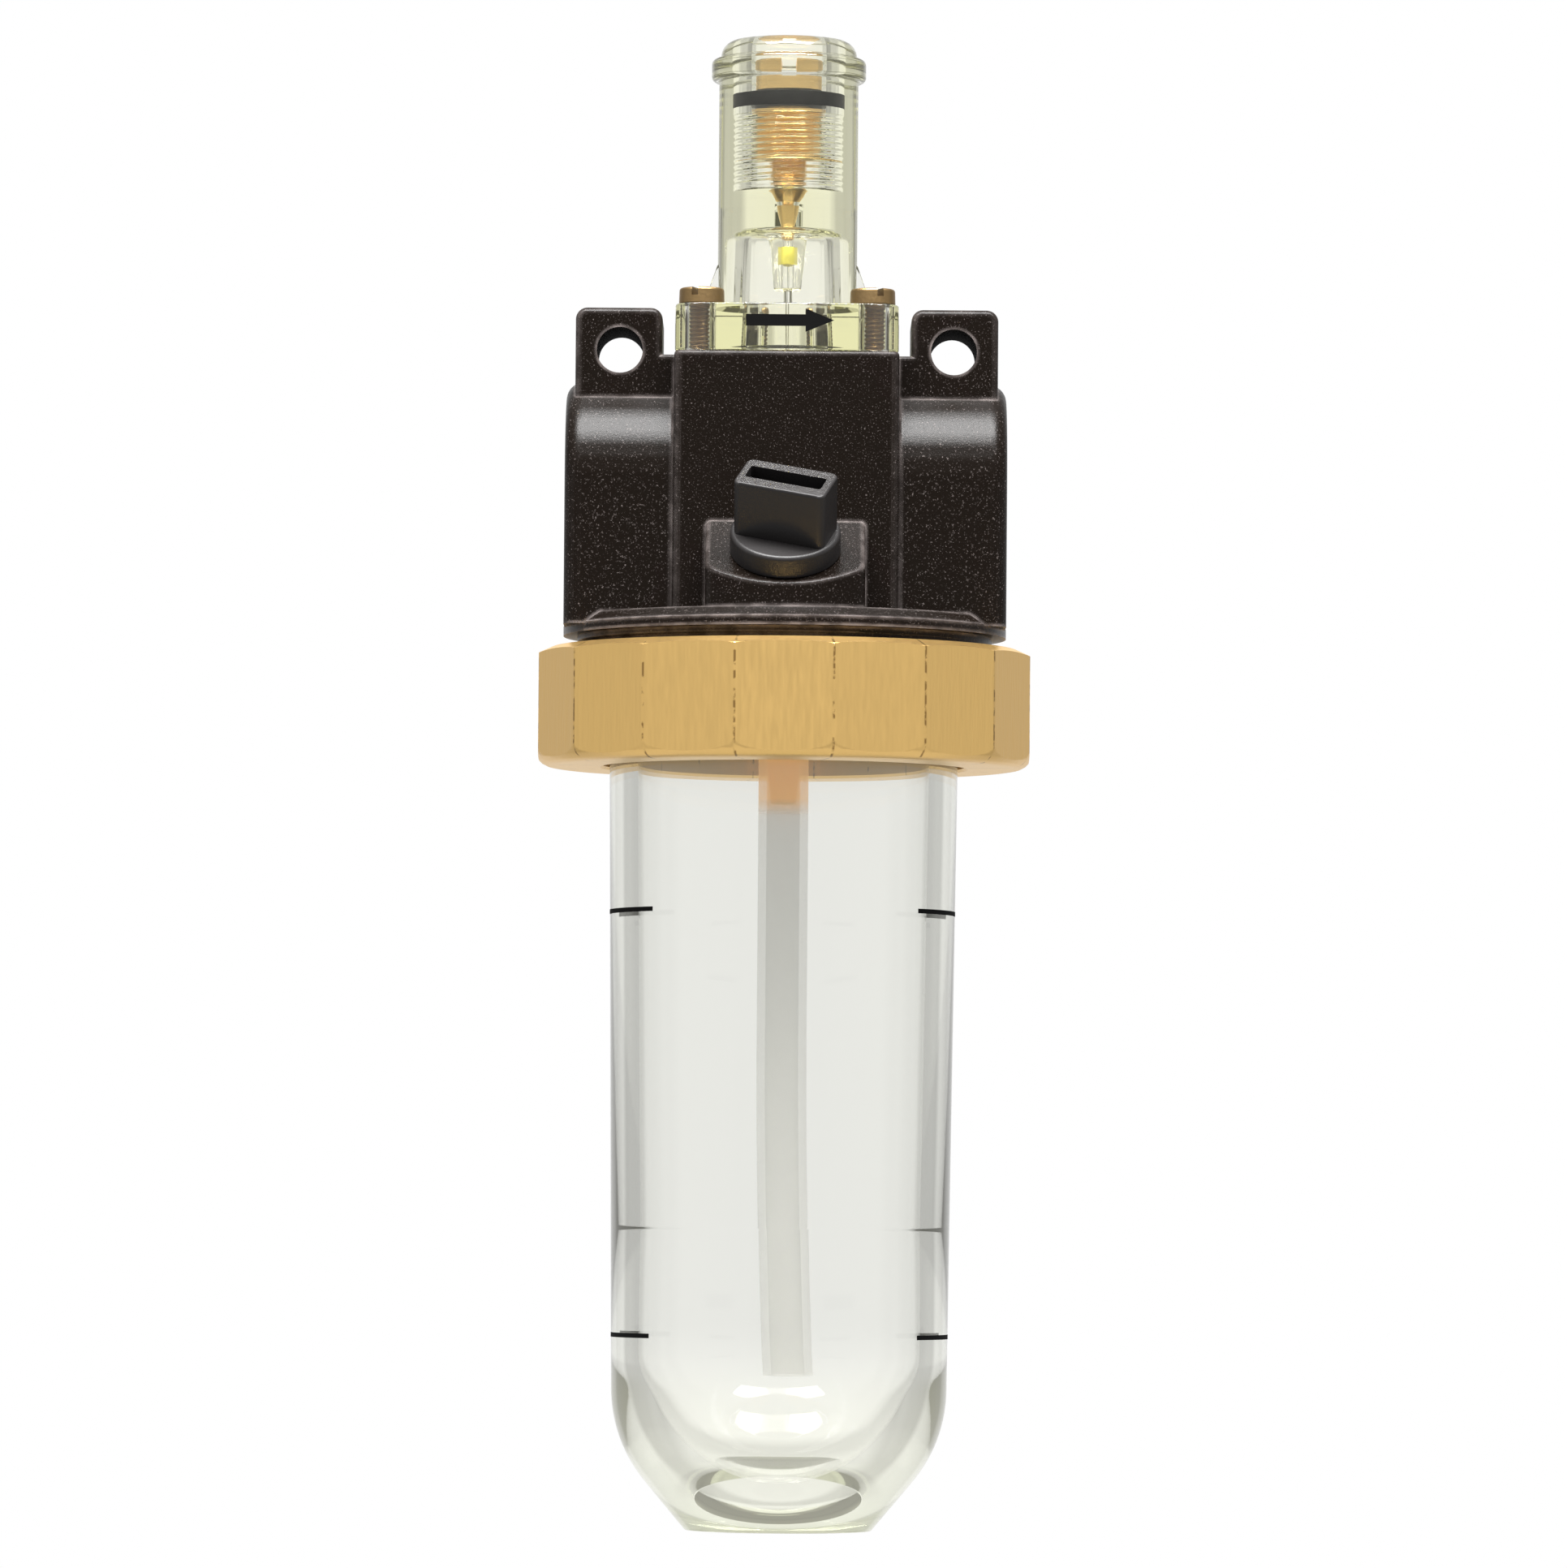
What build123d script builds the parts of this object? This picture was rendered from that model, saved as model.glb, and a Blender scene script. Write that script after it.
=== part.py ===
from build123d import *
import os
from math import atan, cos, pi, radians, sin, sqrt, tan

# Air line lubricator: die-cast body with threaded air ports left and right, clear sight dome
# with a needle screw on top, clear oil bowl held by a sixteen-sided ring nut below.
# X runs with the air flow, Y from front to back, Z up. The origin is midway between the two
# fixing holes of the ears, on the axis of the bowl.

# Air ports, block and base
PORT_R = 7.475            # minor radius of the three-eighths pipe thread
PORT_WALL = 4.525
PORT_DEPTH = 12.0
PORT_CHAMFER = 0.8
PORT_END_R = 2.0
BORE_R = 6.0              # air passage between the ports
BLOCK_PROUD = 1.4         # block in front of the port bosses, and behind them
BLOCK_ROOF = 2.9          # block top above the port bosses
BASE_SPACE = 4.3          # base disc top below the port bosses
WING_OVERHANG = 1.4       # underside of the port wings below the base disc top
BASE_T = 2.3
BASE_LIP = 1.7            # base disc outside the threaded neck
BASE_CHAMFER_H = 1.2
BASE_CHAMFER_W = 1.5

# Fixing ears
EAR_HOLE_R = 2.75
EAR_W = 10.4
EAR_T = 14.0              # front to back
EAR_EDGE = 2.35           # ear top above the fixing hole
EAR_STAND = 3.4           # fixing holes above the port bosses
EAR_GAP = 1.5             # between ear and block
EAR_OFFSET = 0.1          # ear middle outside the fixing hole
EAR_STEP = 1.1            # port face outside the ear
EAR_CORNER_R = 1.4

# Rounded edges of the casting
CAST_EDGE_R = 0.8         # upright edges of the block
CAST_RIM_R = 0.5          # upper edges of block, webs and filling neck
CAST_CREASE_R = 0.5       # between block and port wings
EAR_RIM_R = 0.7
FILL_CORNER_R = 1.6       # upright edges of the filling neck

# Threaded neck and recess under the base disc
NECK_R = 24.9             # outside of the fifty millimetre nut thread
NECK_H = 7.0
NECK_WALL = 8.4
RECESS_H = 5.0

# Filling neck and its plug, along their slanted axis
FILL_TILT = 35.0          # axis leans to the front by this from upright, in degrees
FILL_NECK_W = 18.9
FILL_FRONT_R = 15.9       # arc of the neck's front wall, seen from above
FILL_FRONT_H = 2.7        # neck's front wall above the base disc
FILL_EDGE_W = 0.635       # between the plug's disc and the neck's front wall, seen from above
FILL_THREAD_R = 4.9
FILL_LEDGE = 0.65         # thread radius outside the bore
PLUG_STEM_L = 9.0
PLUG_STEM_ROOM = 1.0      # thread in the neck longer than the stem
PLUG_STEM_CHAMFER = 0.6
PLUG_RING_W = 1.1
PLUG_RING_T = 1.8
PLUG_LIP = 0.55           # disc outside its sealing ring
PLUG_BLOCK_GAP = 0.235    # between the disc and the block
PLUG_HEAD_T = 2.9
PLUG_HEAD_EDGE_R = 0.5
PLUG_GRIP_L = 11.3
PLUG_GRIP_W = 6.0
PLUG_GRIP_H = 7.1
PLUG_GRIP_WALL = 0.95     # at the ends of the pocket
PLUG_GRIP_SIDE = 1.25     # beside the pocket
PLUG_POCKET_DEPTH = 5.6
PLUG_CORNER_R = 0.9
PLUG_TURN = -18.5         # grip turned about its axis, in degrees

# Bowl and its seals
BOWL_H = 99.7
BOWL_SEAL_GAP = 0.3       # between bowl rim and neck
BOWL_RIM_GAP = 0.65       # between bowl rim and nut thread
BOWL_LEDGE_W = 3.4        # flange outside the wall
BOWL_FLANGE_T = 3.9
BOWL_DRAFT = 0.8          # wall's outside nearer to the axis at its lower end
BOWL_WALL_TOP = 3.3
BOWL_WALL_LOW = 3.2
BOWL_LOW_Z = 17.0         # height of the straight wall's lower end above the foot
BOWL_BEND_R = 17.4
BOWL_CONE = 40.0          # slope of the lower cone from upright, in degrees
BOWL_FLOOR = 4.4
BOWL_RING_W = 2.2
BOWL_RING_DEPTH = 1.5

# Ring nut
SLIP_RING_T = 1.0
NUT_SIDES = 16
NUT_WALL = 4.45           # flats outside the thread
NUT_TOP_GAP = 1.4         # between nut and base disc
NUT_LIP_T = 3.5
NUT_LIP_GAP = 0.9         # between lip and bowl wall
NUT_ROUND_R = 2.2
NUT_CHAMFER_H = 0.9
NUT_CHAMFER_W = 2.0

# Sight dome, heights above the block top
DOME_SETBACK = 0.05       # flange inside the block's sides
DOME_FLANGE_T = 5.7
DOME_CORNER_R = 3.1
BELL_H = 15.7
BELL_R_LOW = 5.6
BELL_TAPER = 0.75
BELL_ROUND_R = 1.8
DOME_WALL = 2.8           # outside the drip chamber's mouth
DOME_FLOOR_T = 4.5        # between drip chamber and screw well
DOME_CAP_RISE = 2.3       # top above the collar
DOME_CAP_STEP = 0.2       # cap inside the dome's cylinder
DOME_CAP_ROUND_R = 2.0
DOME_COLLAR_W = 0.9
DOME_COLLAR_T = 2.7
DOME_COLLAR_EDGE_R = 0.6
RIB_H = 11.5
RIB_W = 2.0
RIB_T = 2.6
NOZZLE_L = 7.2
NOZZLE_R_TOP = 2.4
NOZZLE_R_LOW = 1.6
JET_R = 0.7
JET_BORE_R = 0.3
JET_SINK = 3.0            # jet above the nozzle's end
JET_L = 2.2
WELL_STEP = 0.05          # screw well wider than its thread
DOME_RING_LAND = 0.4      # between drip chamber and sealing ring
DOME_RING_W = 1.3
DOME_RING_T = 1.0

# Oil way from the fitting to the needle
RISER_R = 1.2
RISER_SLANT_R = 1.0
RISER_JOG_H = 9.6         # rise of the slanted stretch above the fitting
RISER_RING_R = 1.7
RISER_RING_T = 0.8
RISER_LAND = 0.6          # between the two sealing rings
DOME_WAY_R = 0.6
DOME_WAY_WALL = 0.6       # dome's outside behind the way
DOME_WAY_TURN_H = 6.0
DOME_WAY_RISE = 2.8       # crossing way above the drip chamber
DRIP_R = 2.0
BLEED_R = 0.75
BLEED_GAP = 1.5           # bleed hole outside the venturi tube's end

# Dome screws
SCREW_EDGE = 3.15         # screw middle inside the flange's edge
SCREW_HEAD_R = 2.72
SCREW_HEAD_H = 1.9
SCREW_HEAD_EDGE_R = 0.3
SCREW_R = 1.5
SCREW_GRIP = 8.0          # length in the block
SCREW_TIP_CHAMFER = 0.4
SCREW_SLOT_W = 0.8
SCREW_SLOT_DEPTH = 1.0
SCREW_CLEARANCE = 0.15
SCREW_SLOT_ANGLES = (28.0, -24.0, 70.0, 12.0)

# Needle screw
ADJ_THREAD_R = 4.45
ADJ_THREAD_L = 6.3
ADJ_FLOOR_GAP = 3.5       # between its lower end and the well's floor
ADJ_GROOVE_GAP = 0.3
ADJ_RING_T = 1.8
ADJ_RING_W = 1.65
ADJ_HEAD_GAP = 0.55       # between head and well
ADJ_HEAD_L = 3.7
ADJ_HEAD_SINK = 2.65      # head below the dome's top
ADJ_HEAD_CHAMFER = 0.25
ADJ_SLOT_W = 1.6
ADJ_SLOT_DEPTH = 1.8
ADJ_RELIEF = 0.8          # well's thread ends below the sealing ring
ADJ_WALL = 0.6            # round the needle's shank
NEEDLE_SHANK_L = 6.5
NEEDLE_R = 1.05
NEEDLE_TIP_R = 0.5
NEEDLE_SHOULDER_GAP = 0.8  # between shank and well floor
NEEDLE_TIP_GAP = 0.8      # between tip and jet
NEEDLE_CLEARANCE = 0.06

# Venturi tube in the air passage
VENTURI_SET_BACK = 3.4    # from the port thread's end
VENTURI_LIP = 1.18
VENTURI_THROAT_R = 2.6
VENTURI_THROAT_L = 4.0
VENTURI_DRIP_R = 0.8

# Pick-up tube, its fitting and the check ball
FITTING_R = 4.95
FITTING_L = 6.0
FITTING_HEX_STEP = 0.55   # hexagon's flats outside the stem
FITTING_HEX_H = 4.0
FITTING_BORE_R = 1.0
BARB_TAPER_W = 0.48
BARB_TAPER_L = 4.6
BARB_L = 13.8
CHAMBER_R = 2.2
CHAMBER_DROP = 1.6        # chamber floor below the top of the hexagon
BALL_R = 1.6
BALL_CLEARANCE = 0.02
BALL_TRAVEL = 1.4
RETAINER_T = 1.0
RETAINER_SLOT_W = 1.0
TUBE_BORE_R = 2.0
TUBE_WALL = 1.0
TUBE_TOP_GAP = 0.5
TUBE_FLOOR_GAP = 13.8     # between the tube's end and the bowl's floor
TUBE_BENT_L = 43.8
TUBE_BEND_OFFSET = 1.1

# Fits
TURN_CLEARANCE = 0.05     # turning pieces in their holes
SLIDE_CLEARANCE = 0.02    # seals in their bores
SEAT_CLEARANCE = 0.02     # pushed-in pieces
SEAL_ROUNDING = 0.35      # edge radius of a seal, as a share of its thinner side
OVERCUT = 1.0             # cutters reach this far past a face

# Widths and radii that follow from the sizes above
PORT_BOSS_R = PORT_R + PORT_WALL
BLOCK_W = 2 * (PORT_BOSS_R + BLOCK_PROUD)
EAR_X = BLOCK_W / 2 + EAR_GAP + EAR_W / 2
EAR_HOLE_X = EAR_X - EAR_OFFSET
EAR_RISE = EAR_HOLE_R + EAR_EDGE
PORT_SPAN = 2 * (EAR_X + EAR_W / 2 + EAR_STEP)
RECESS_R = NECK_R - NECK_WALL
BASE_R = NECK_R + BASE_LIP
NUT_THREAD_R = NECK_R + TURN_CLEARANCE
NUT_FLATS = 2 * (NUT_THREAD_R + NUT_WALL)
BOWL_FLANGE_R = NUT_THREAD_R - BOWL_RIM_GAP
BOWL_R_TOP = BOWL_FLANGE_R - BOWL_LEDGE_W
BOWL_R_LOW = BOWL_R_TOP - BOWL_DRAFT
BOWL_BORE_TOP = BOWL_R_TOP - BOWL_WALL_TOP
BOWL_BORE_LOW = BOWL_R_LOW - BOWL_WALL_LOW
BOWL_RING_R = (BOWL_BORE_TOP + BOWL_FLANGE_R) / 2
NUT_LIP_R = BOWL_R_TOP + NUT_LIP_GAP
DOME_FLANGE_W = BLOCK_W - 2 * DOME_SETBACK
SCREW_PITCH = DOME_FLANGE_W - 2 * SCREW_EDGE
DOME_R = BELL_R_LOW + DOME_WALL
BELL_R_TOP = BELL_R_LOW - BELL_TAPER
DOME_RING_R_IN = BELL_R_LOW + DOME_RING_LAND
DOME_RING_R_OUT = DOME_RING_R_IN + DOME_RING_W
RISER_Y = DOME_RING_R_OUT + RISER_LAND + RISER_RING_R
DOME_WAY_Y = DOME_R - DOME_WAY_WALL - DOME_WAY_R
WELL_THREAD_R = ADJ_THREAD_R + TURN_CLEARANCE
WELL_R = WELL_THREAD_R + WELL_STEP
ADJ_CORE_R = WELL_R - ADJ_RING_W
ADJ_HEAD_R = WELL_R - ADJ_HEAD_GAP
NEEDLE_SHANK_R = ADJ_CORE_R - ADJ_WALL
VENTURI_L = PORT_SPAN - 2 * (PORT_DEPTH + VENTURI_SET_BACK)
VENTURI_MOUTH_R = BORE_R - SEAT_CLEARANCE - VENTURI_LIP
BLEED_X = VENTURI_L / 2 + BLEED_GAP
FITTING_HEX = 2 * (FITTING_R + FITTING_HEX_STEP)
TUBE_R = TUBE_BORE_R + TUBE_WALL
BARB_R = TUBE_BORE_R - SEAT_CLEARANCE
BARB_TIP_R = BARB_R - BARB_TAPER_W
FILL_BORE_R = FILL_THREAD_R - FILL_LEDGE
PLUG_RING_R = FILL_THREAD_R + PLUG_RING_W
PLUG_HEAD_R = PLUG_RING_R + PLUG_LIP
FILL_THREAD_L = PLUG_STEM_L + PLUG_STEM_ROOM
FILL_SEAT_BACK = PLUG_HEAD_R * cos(radians(FILL_TILT)) + FILL_EDGE_W
FILL_REACH = BLOCK_W / 2 + PLUG_BLOCK_GAP + PLUG_HEAD_R * cos(radians(FILL_TILT)) + FILL_SEAT_BACK

# Heights that follow, from the fixing holes
PORT_Z = -(PORT_BOSS_R + EAR_STAND)
BLOCK_TOP = PORT_Z + PORT_BOSS_R + BLOCK_ROOF
BASE_TOP = PORT_Z - PORT_BOSS_R - BASE_SPACE
WING_LOW = BASE_TOP - WING_OVERHANG
NECK_TOP = BASE_TOP - BASE_T
NECK_END = NECK_TOP - NECK_H
RECESS_TOP = NECK_END + RECESS_H
BOWL_TOP = NECK_END - BOWL_SEAL_GAP
BOWL_FOOT = BOWL_TOP - BOWL_H
SLIP_TOP = BOWL_TOP - BOWL_FLANGE_T
NUT_LIP_TOP = SLIP_TOP - SLIP_RING_T
NUT_BOTTOM = NUT_LIP_TOP - NUT_LIP_T
NUT_TOP = NECK_TOP - NUT_TOP_GAP
FITTING_TOP = RECESS_TOP + FITTING_L
CHAMBER_FLOOR = RECESS_TOP - CHAMBER_DROP
BALL_Z = CHAMBER_FLOOR + sqrt(BALL_R**2 - FITTING_BORE_R**2) + BALL_CLEARANCE
RETAINER_Z = BALL_Z + BALL_R + BALL_TRAVEL
TUBE_TOP = RECESS_TOP - FITTING_HEX_H - TUBE_TOP_GAP
TUBE_END = BOWL_FOOT + BOWL_FLOOR + TUBE_FLOOR_GAP
NECK_FRONT_TOP = BASE_TOP + FILL_FRONT_H
FILL_SEAT = Vector(
    0,
    -FILL_REACH + FILL_SEAT_BACK,
    NECK_FRONT_TOP + FILL_SEAT_BACK * tan(radians(FILL_TILT)),
)
FILL_AXIS = Vector(0, -sin(radians(FILL_TILT)), cos(radians(FILL_TILT)))
FILL_PLANE = Plane(origin=FILL_SEAT, x_dir=(1, 0, 0), z_dir=FILL_AXIS)

# Heights in the dome that follow, above the block top
NOZZLE_END_H = BELL_H - NOZZLE_L
JET_H = NOZZLE_END_H + JET_SINK
JET_TOP_H = JET_H + JET_L
DOME_WAY_TOP_H = BELL_H + DOME_WAY_RISE
WELL_H = BELL_H + DOME_FLOOR_T
NEEDLE_TIP_H = JET_TOP_H + NEEDLE_TIP_GAP
NEEDLE_SHANK_H = WELL_H + NEEDLE_SHOULDER_GAP
NEEDLE_SLOPE = (NEEDLE_R - NEEDLE_TIP_R) / (NEEDLE_SHANK_H - NEEDLE_TIP_H)
ADJ_THREAD_H = WELL_H + ADJ_FLOOR_GAP
ADJ_RING_H = ADJ_THREAD_H + ADJ_THREAD_L + ADJ_GROOVE_GAP
ADJ_HEAD_H = ADJ_RING_H + ADJ_RING_T + ADJ_GROOVE_GAP / 2
ADJ_TOP_H = ADJ_HEAD_H + ADJ_HEAD_L
WELL_WIDE_H = ADJ_RING_H - ADJ_RELIEF
DOME_H = ADJ_TOP_H + ADJ_HEAD_SINK
DOME_COLLAR_TOP_H = DOME_H - DOME_CAP_RISE
DOME_COLLAR_H = DOME_COLLAR_TOP_H - DOME_COLLAR_T


def rod(radius, low, high, x=0.0, y=0.0):
    """Upright cylinder between two heights."""
    return Pos(x, y, (low + high) / 2) * Cylinder(radius, high - low)


def ring(radius, bore, low, high, x=0.0, y=0.0):
    """Upright tube between two heights."""
    return rod(radius, low, high, x, y) - rod(bore, low - OVERCUT, high + OVERCUT, x, y)


def taper(low_radius, high_radius, low, high):
    """Upright cone frustum on the axis."""
    return Pos(0, 0, (low + high) / 2) * Cone(low_radius, high_radius, high - low)


def cuboid(x, y, z):
    """Box from three (low, high) pairs."""
    middle = Pos(sum(x) / 2, sum(y) / 2, sum(z) / 2)
    return middle * Box(x[1] - x[0], y[1] - y[0], z[1] - z[0])


def drilling(radius, start, end):
    """Round hole cutter from one point to another."""
    start, end = Vector(*start), Vector(*end)
    plane = Plane(origin=start, z_dir=end - start)
    length = (end - start).length
    return plane.location * Pos(0, 0, length / 2) * Cylinder(radius, length)


def seal(radius, bore, low, high, x=0.0, y=0.0):
    """Sealing ring squeezed between two flat faces, with rounded edges."""
    blank = ring(radius, bore, low, high, x, y)
    round_r = SEAL_ROUNDING * min(high - low, radius - bore)
    return fillet(blank.edges().filter_by(GeomType.CIRCLE), round_r)


def turned(outline):
    """Solid of revolution from (radius, height) points."""
    closed = Polyline(*outline, close=True)
    return revolve(Plane.XZ * make_face(closed), Axis.Z)


def screw_places():
    """Middle of each dome screw."""
    half = SCREW_PITCH / 2
    return [(x, y) for y in (-half, half) for x in (-half, half)]


def needle_radius(height):
    """Radius of the needle's taper at a height above the block top."""
    return NEEDLE_TIP_R + NEEDLE_SLOPE * (height - NEEDLE_TIP_H)


def port_wings():
    """Boss that joins both ports, arched on top and straight below."""
    half = PORT_SPAN / 2
    barrel = Pos(0, 0, PORT_Z) * Rot(0, 90, 0) * Cylinder(PORT_BOSS_R, PORT_SPAN)
    skirt = cuboid((-half, half), (-PORT_BOSS_R, PORT_BOSS_R), (WING_LOW, PORT_Z))
    boss = barrel + skirt
    ends = boss.edges().filter_by(lambda e: abs(abs(e.center().X) - half) < 0.01)
    rims = ends.filter_by(lambda e: e.center().Z > WING_LOW + 0.01)
    return fillet(rims, PORT_END_R)


def ear(side):
    """One fixing ear, with the low web that joins it to the block."""
    middle = side * EAR_X
    depth = (-EAR_T / 2, EAR_T / 2)
    plate = cuboid((middle - EAR_W / 2, middle + EAR_W / 2), depth, (PORT_Z, EAR_RISE))
    plate = fillet(plate.edges().filter_by(Axis.Y).group_by(Axis.Z)[-1], EAR_CORNER_R)
    rims = [edge for face in plate.faces().filter_by(Axis.Y) for edge in face.edges()]
    plate = fillet([edge for edge in rims if edge.center().Z > PORT_Z], EAR_RIM_R)
    inner = side * (BLOCK_W / 2 - OVERCUT)
    web = cuboid(sorted((inner, middle)), depth, (PORT_Z, BLOCK_TOP))
    web = fillet(web.edges().filter_by(Axis.X).group_by(Axis.Z)[-1], CAST_RIM_R)
    return plate + web


def is_crease(edge, half):
    """Whether an edge runs where a port wing's front, back or arch meets the block's side."""
    middle = edge.center()
    at_block = abs(abs(middle.X) - half) < SEAT_CLEARANCE
    on_wing = EAR_T / 2 < abs(middle.Y) < PORT_BOSS_R + SEAT_CLEARANCE
    return at_block and on_wing and edge.length > PORT_WALL


def fill_neck():
    """Filling neck in front of the block, cut off square to the plug's axis."""
    half = FILL_NECK_W / 2
    sag = FILL_FRONT_R - sqrt(FILL_FRONT_R**2 - half**2)
    corner = -FILL_REACH + sag
    front = ThreePointArc((-half, corner), (0, -FILL_REACH), (half, corner))
    sides = Polyline((half, corner), (half, 0), (-half, 0), (-half, corner))
    plan = make_face(front + sides)
    blank = Pos(0, 0, BASE_TOP) * extrude(plan, BLOCK_TOP - BASE_TOP)
    corners = blank.edges().filter_by(Axis.Z).group_by(Axis.Y)[0]
    blank = fillet(corners, FILL_CORNER_R)
    neck = split(blank, bisect_by=FILL_PLANE, keep=Keep.BOTTOM)
    seat = max(neck.faces(), key=lambda face: face.normal_at().dot(FILL_AXIS))
    return fillet([edge for edge in seat.edges() if edge.center().Y < 0], CAST_RIM_R)


def port_cut(side):
    """Threaded port with its chamfered mouth."""
    face = side * PORT_SPAN / 2
    outer, inner = face + side * OVERCUT, face - side * PORT_DEPTH
    hole = drilling(PORT_R, (outer, 0, PORT_Z), (inner, 0, PORT_Z))
    mouth = Cone(PORT_R + PORT_CHAMFER, PORT_R, PORT_CHAMFER)
    turn = Rot(0, -90 * side, 0)
    return hole + Pos(face - side * PORT_CHAMFER / 2, 0, PORT_Z) * turn * mouth


def fill_cuts():
    """Plug thread, ring seat and oil way of the filling neck, along its axis."""
    reach = (FILL_SEAT.Z - RECESS_TOP) / cos(radians(FILL_TILT)) + FILL_BORE_R
    cutters = (
        rod(PLUG_RING_R, -PLUG_RING_T, OVERCUT),
        rod(FILL_THREAD_R + TURN_CLEARANCE, -FILL_THREAD_L, OVERCUT),
        rod(FILL_BORE_R, -reach, OVERCUT),
    )
    return [FILL_PLANE.location * cutter for cutter in cutters]


def oil_and_air_ways():
    """Drillings that carry oil up past the air passage, drops down, and air to the bowl."""
    jog_end = FITTING_TOP + RISER_JOG_H
    return [
        drilling(RISER_SLANT_R, (0, 0, FITTING_TOP), (0, RISER_Y, jog_end)),
        rod(RISER_R, jog_end - RISER_R, BLOCK_TOP + OVERCUT, 0, RISER_Y),
        rod(DRIP_R, PORT_Z, BLOCK_TOP + OVERCUT),
        rod(BLEED_R, RECESS_TOP - OVERCUT, PORT_Z, -BLEED_X),
    ]


def body():
    """Die-cast body: block, ports, ears, base disc, threaded neck and filling neck."""
    half = BLOCK_W / 2
    block = cuboid((-half, half), (-half, half), (BASE_TOP, BLOCK_TOP))
    block = fillet(block.edges().filter_by(Axis.Z), CAST_EDGE_R)
    block = fillet(block.edges().group_by(Axis.Z)[-1], CAST_RIM_R)
    cast = block + port_wings() + ear(-1) + ear(1)
    creases = cast.edges().filter_by(lambda edge: is_crease(edge, half))
    cast = fillet(creases, CAST_CREASE_R)
    base = rod(BASE_R, NECK_TOP, BASE_TOP)
    base = chamfer(base.edges().group_by(Axis.Z)[-1], BASE_CHAMFER_H, BASE_CHAMFER_W)
    cast += base + fill_neck() + rod(NECK_R, NECK_END, NECK_TOP)
    cast -= rod(RECESS_R, NECK_END - OVERCUT, RECESS_TOP)
    cast -= drilling(BORE_R, (-PORT_SPAN / 2, 0, PORT_Z), (PORT_SPAN / 2, 0, PORT_Z))
    cast -= port_cut(-1) + port_cut(1)
    for side in (-1, 1):
        x = side * EAR_HOLE_X
        cast -= drilling(EAR_HOLE_R, (x, -EAR_T, 0), (x, EAR_T, 0))
    for x, y in screw_places():
        depth = SCREW_GRIP + OVERCUT
        cast -= rod(SCREW_R + SEAT_CLEARANCE, BLOCK_TOP - depth, BLOCK_TOP + OVERCUT, x, y)
    cast -= rod(FITTING_R + SEAT_CLEARANCE, RECESS_TOP - OVERCUT, FITTING_TOP)
    for way in fill_cuts() + oil_and_air_ways():
        cast -= way
    return cast


def dome_outside():
    """Outer form of the sight dome, with flange, ribs, collar and rounded cap."""
    half = DOME_FLANGE_W / 2
    flange = cuboid((-half, half), (-half, half), (0, DOME_FLANGE_T))
    flange = fillet(flange.edges().filter_by(Axis.Z), DOME_CORNER_R)
    collar = rod(DOME_R + DOME_COLLAR_W, DOME_COLLAR_H, DOME_COLLAR_TOP_H)
    collar = fillet(collar.edges().filter_by(GeomType.CIRCLE), DOME_COLLAR_EDGE_R)
    cap = rod(DOME_R - DOME_CAP_STEP, DOME_COLLAR_H, DOME_H)
    cap = fillet(cap.edges().group_by(Axis.Z)[-1], DOME_CAP_ROUND_R)
    form = flange + rod(DOME_R, 0, DOME_COLLAR_TOP_H) + collar + cap
    reach = DOME_R + RIB_W
    slope = [(reach, 0), (reach, DOME_FLANGE_T), (DOME_R, RIB_H)]
    rib = Polyline((0, 0), *slope, (0, RIB_H), close=True)
    for turn in (0, 180):
        form += Rot(0, 0, turn) * extrude(Plane.XZ * make_face(rib), RIB_T / 2, both=True)
    return form


def dome_hollow():
    """Drip chamber with its hanging nozzle, needle hole and screw well."""
    bell = taper(BELL_R_LOW, BELL_R_TOP, 0, BELL_H)
    bell = fillet(bell.edges().group_by(Axis.Z)[-1], BELL_ROUND_R)
    bell += rod(BELL_R_LOW, -OVERCUT, 0)
    slope = (NOZZLE_R_TOP - NOZZLE_R_LOW) / (BELL_H - NOZZLE_END_H)
    nozzle = taper(NOZZLE_R_LOW, NOZZLE_R_TOP + slope * OVERCUT, NOZZLE_END_H, BELL_H + OVERCUT)
    seat_low = needle_radius(JET_TOP_H) + NEEDLE_CLEARANCE
    seat_high = needle_radius(WELL_H) + NEEDLE_CLEARANCE
    hollow = bell - nozzle
    hollow += rod(JET_R + SEAT_CLEARANCE, NOZZLE_END_H - OVERCUT, JET_TOP_H)
    hollow += taper(seat_low, seat_high, JET_TOP_H, WELL_H)
    hollow += rod(WELL_THREAD_R, WELL_H, WELL_WIDE_H)
    hollow += rod(WELL_R, WELL_WIDE_H, DOME_H + OVERCUT)
    return hollow


def dome_ways():
    """Oil way behind the drip chamber, ring grooves and screw holes."""
    turn_low, turn_high = DOME_WAY_TURN_H - DOME_WAY_R / 2, DOME_WAY_TOP_H + DOME_WAY_R
    cuts = drilling(DOME_WAY_R, (0, RISER_Y, -DOME_WAY_R / 2), (0, DOME_WAY_Y, DOME_WAY_TURN_H))
    cuts += rod(DOME_WAY_R, turn_low, turn_high, 0, DOME_WAY_Y)
    cuts += drilling(DOME_WAY_R, (0, DOME_WAY_Y, DOME_WAY_TOP_H), (0, 0, DOME_WAY_TOP_H))
    cuts += ring(DOME_RING_R_OUT, DOME_RING_R_IN, -OVERCUT, DOME_RING_T)
    cuts += rod(RISER_RING_R, -OVERCUT, RISER_RING_T, 0, RISER_Y)
    for x, y in screw_places():
        cuts += rod(SCREW_R + SCREW_CLEARANCE, -OVERCUT, DOME_FLANGE_T + OVERCUT, x, y)
    return cuts


def sight_dome():
    """Clear moulded dome on top of the block."""
    return Pos(0, 0, BLOCK_TOP) * (dome_outside() - dome_hollow() - dome_ways())


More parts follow.
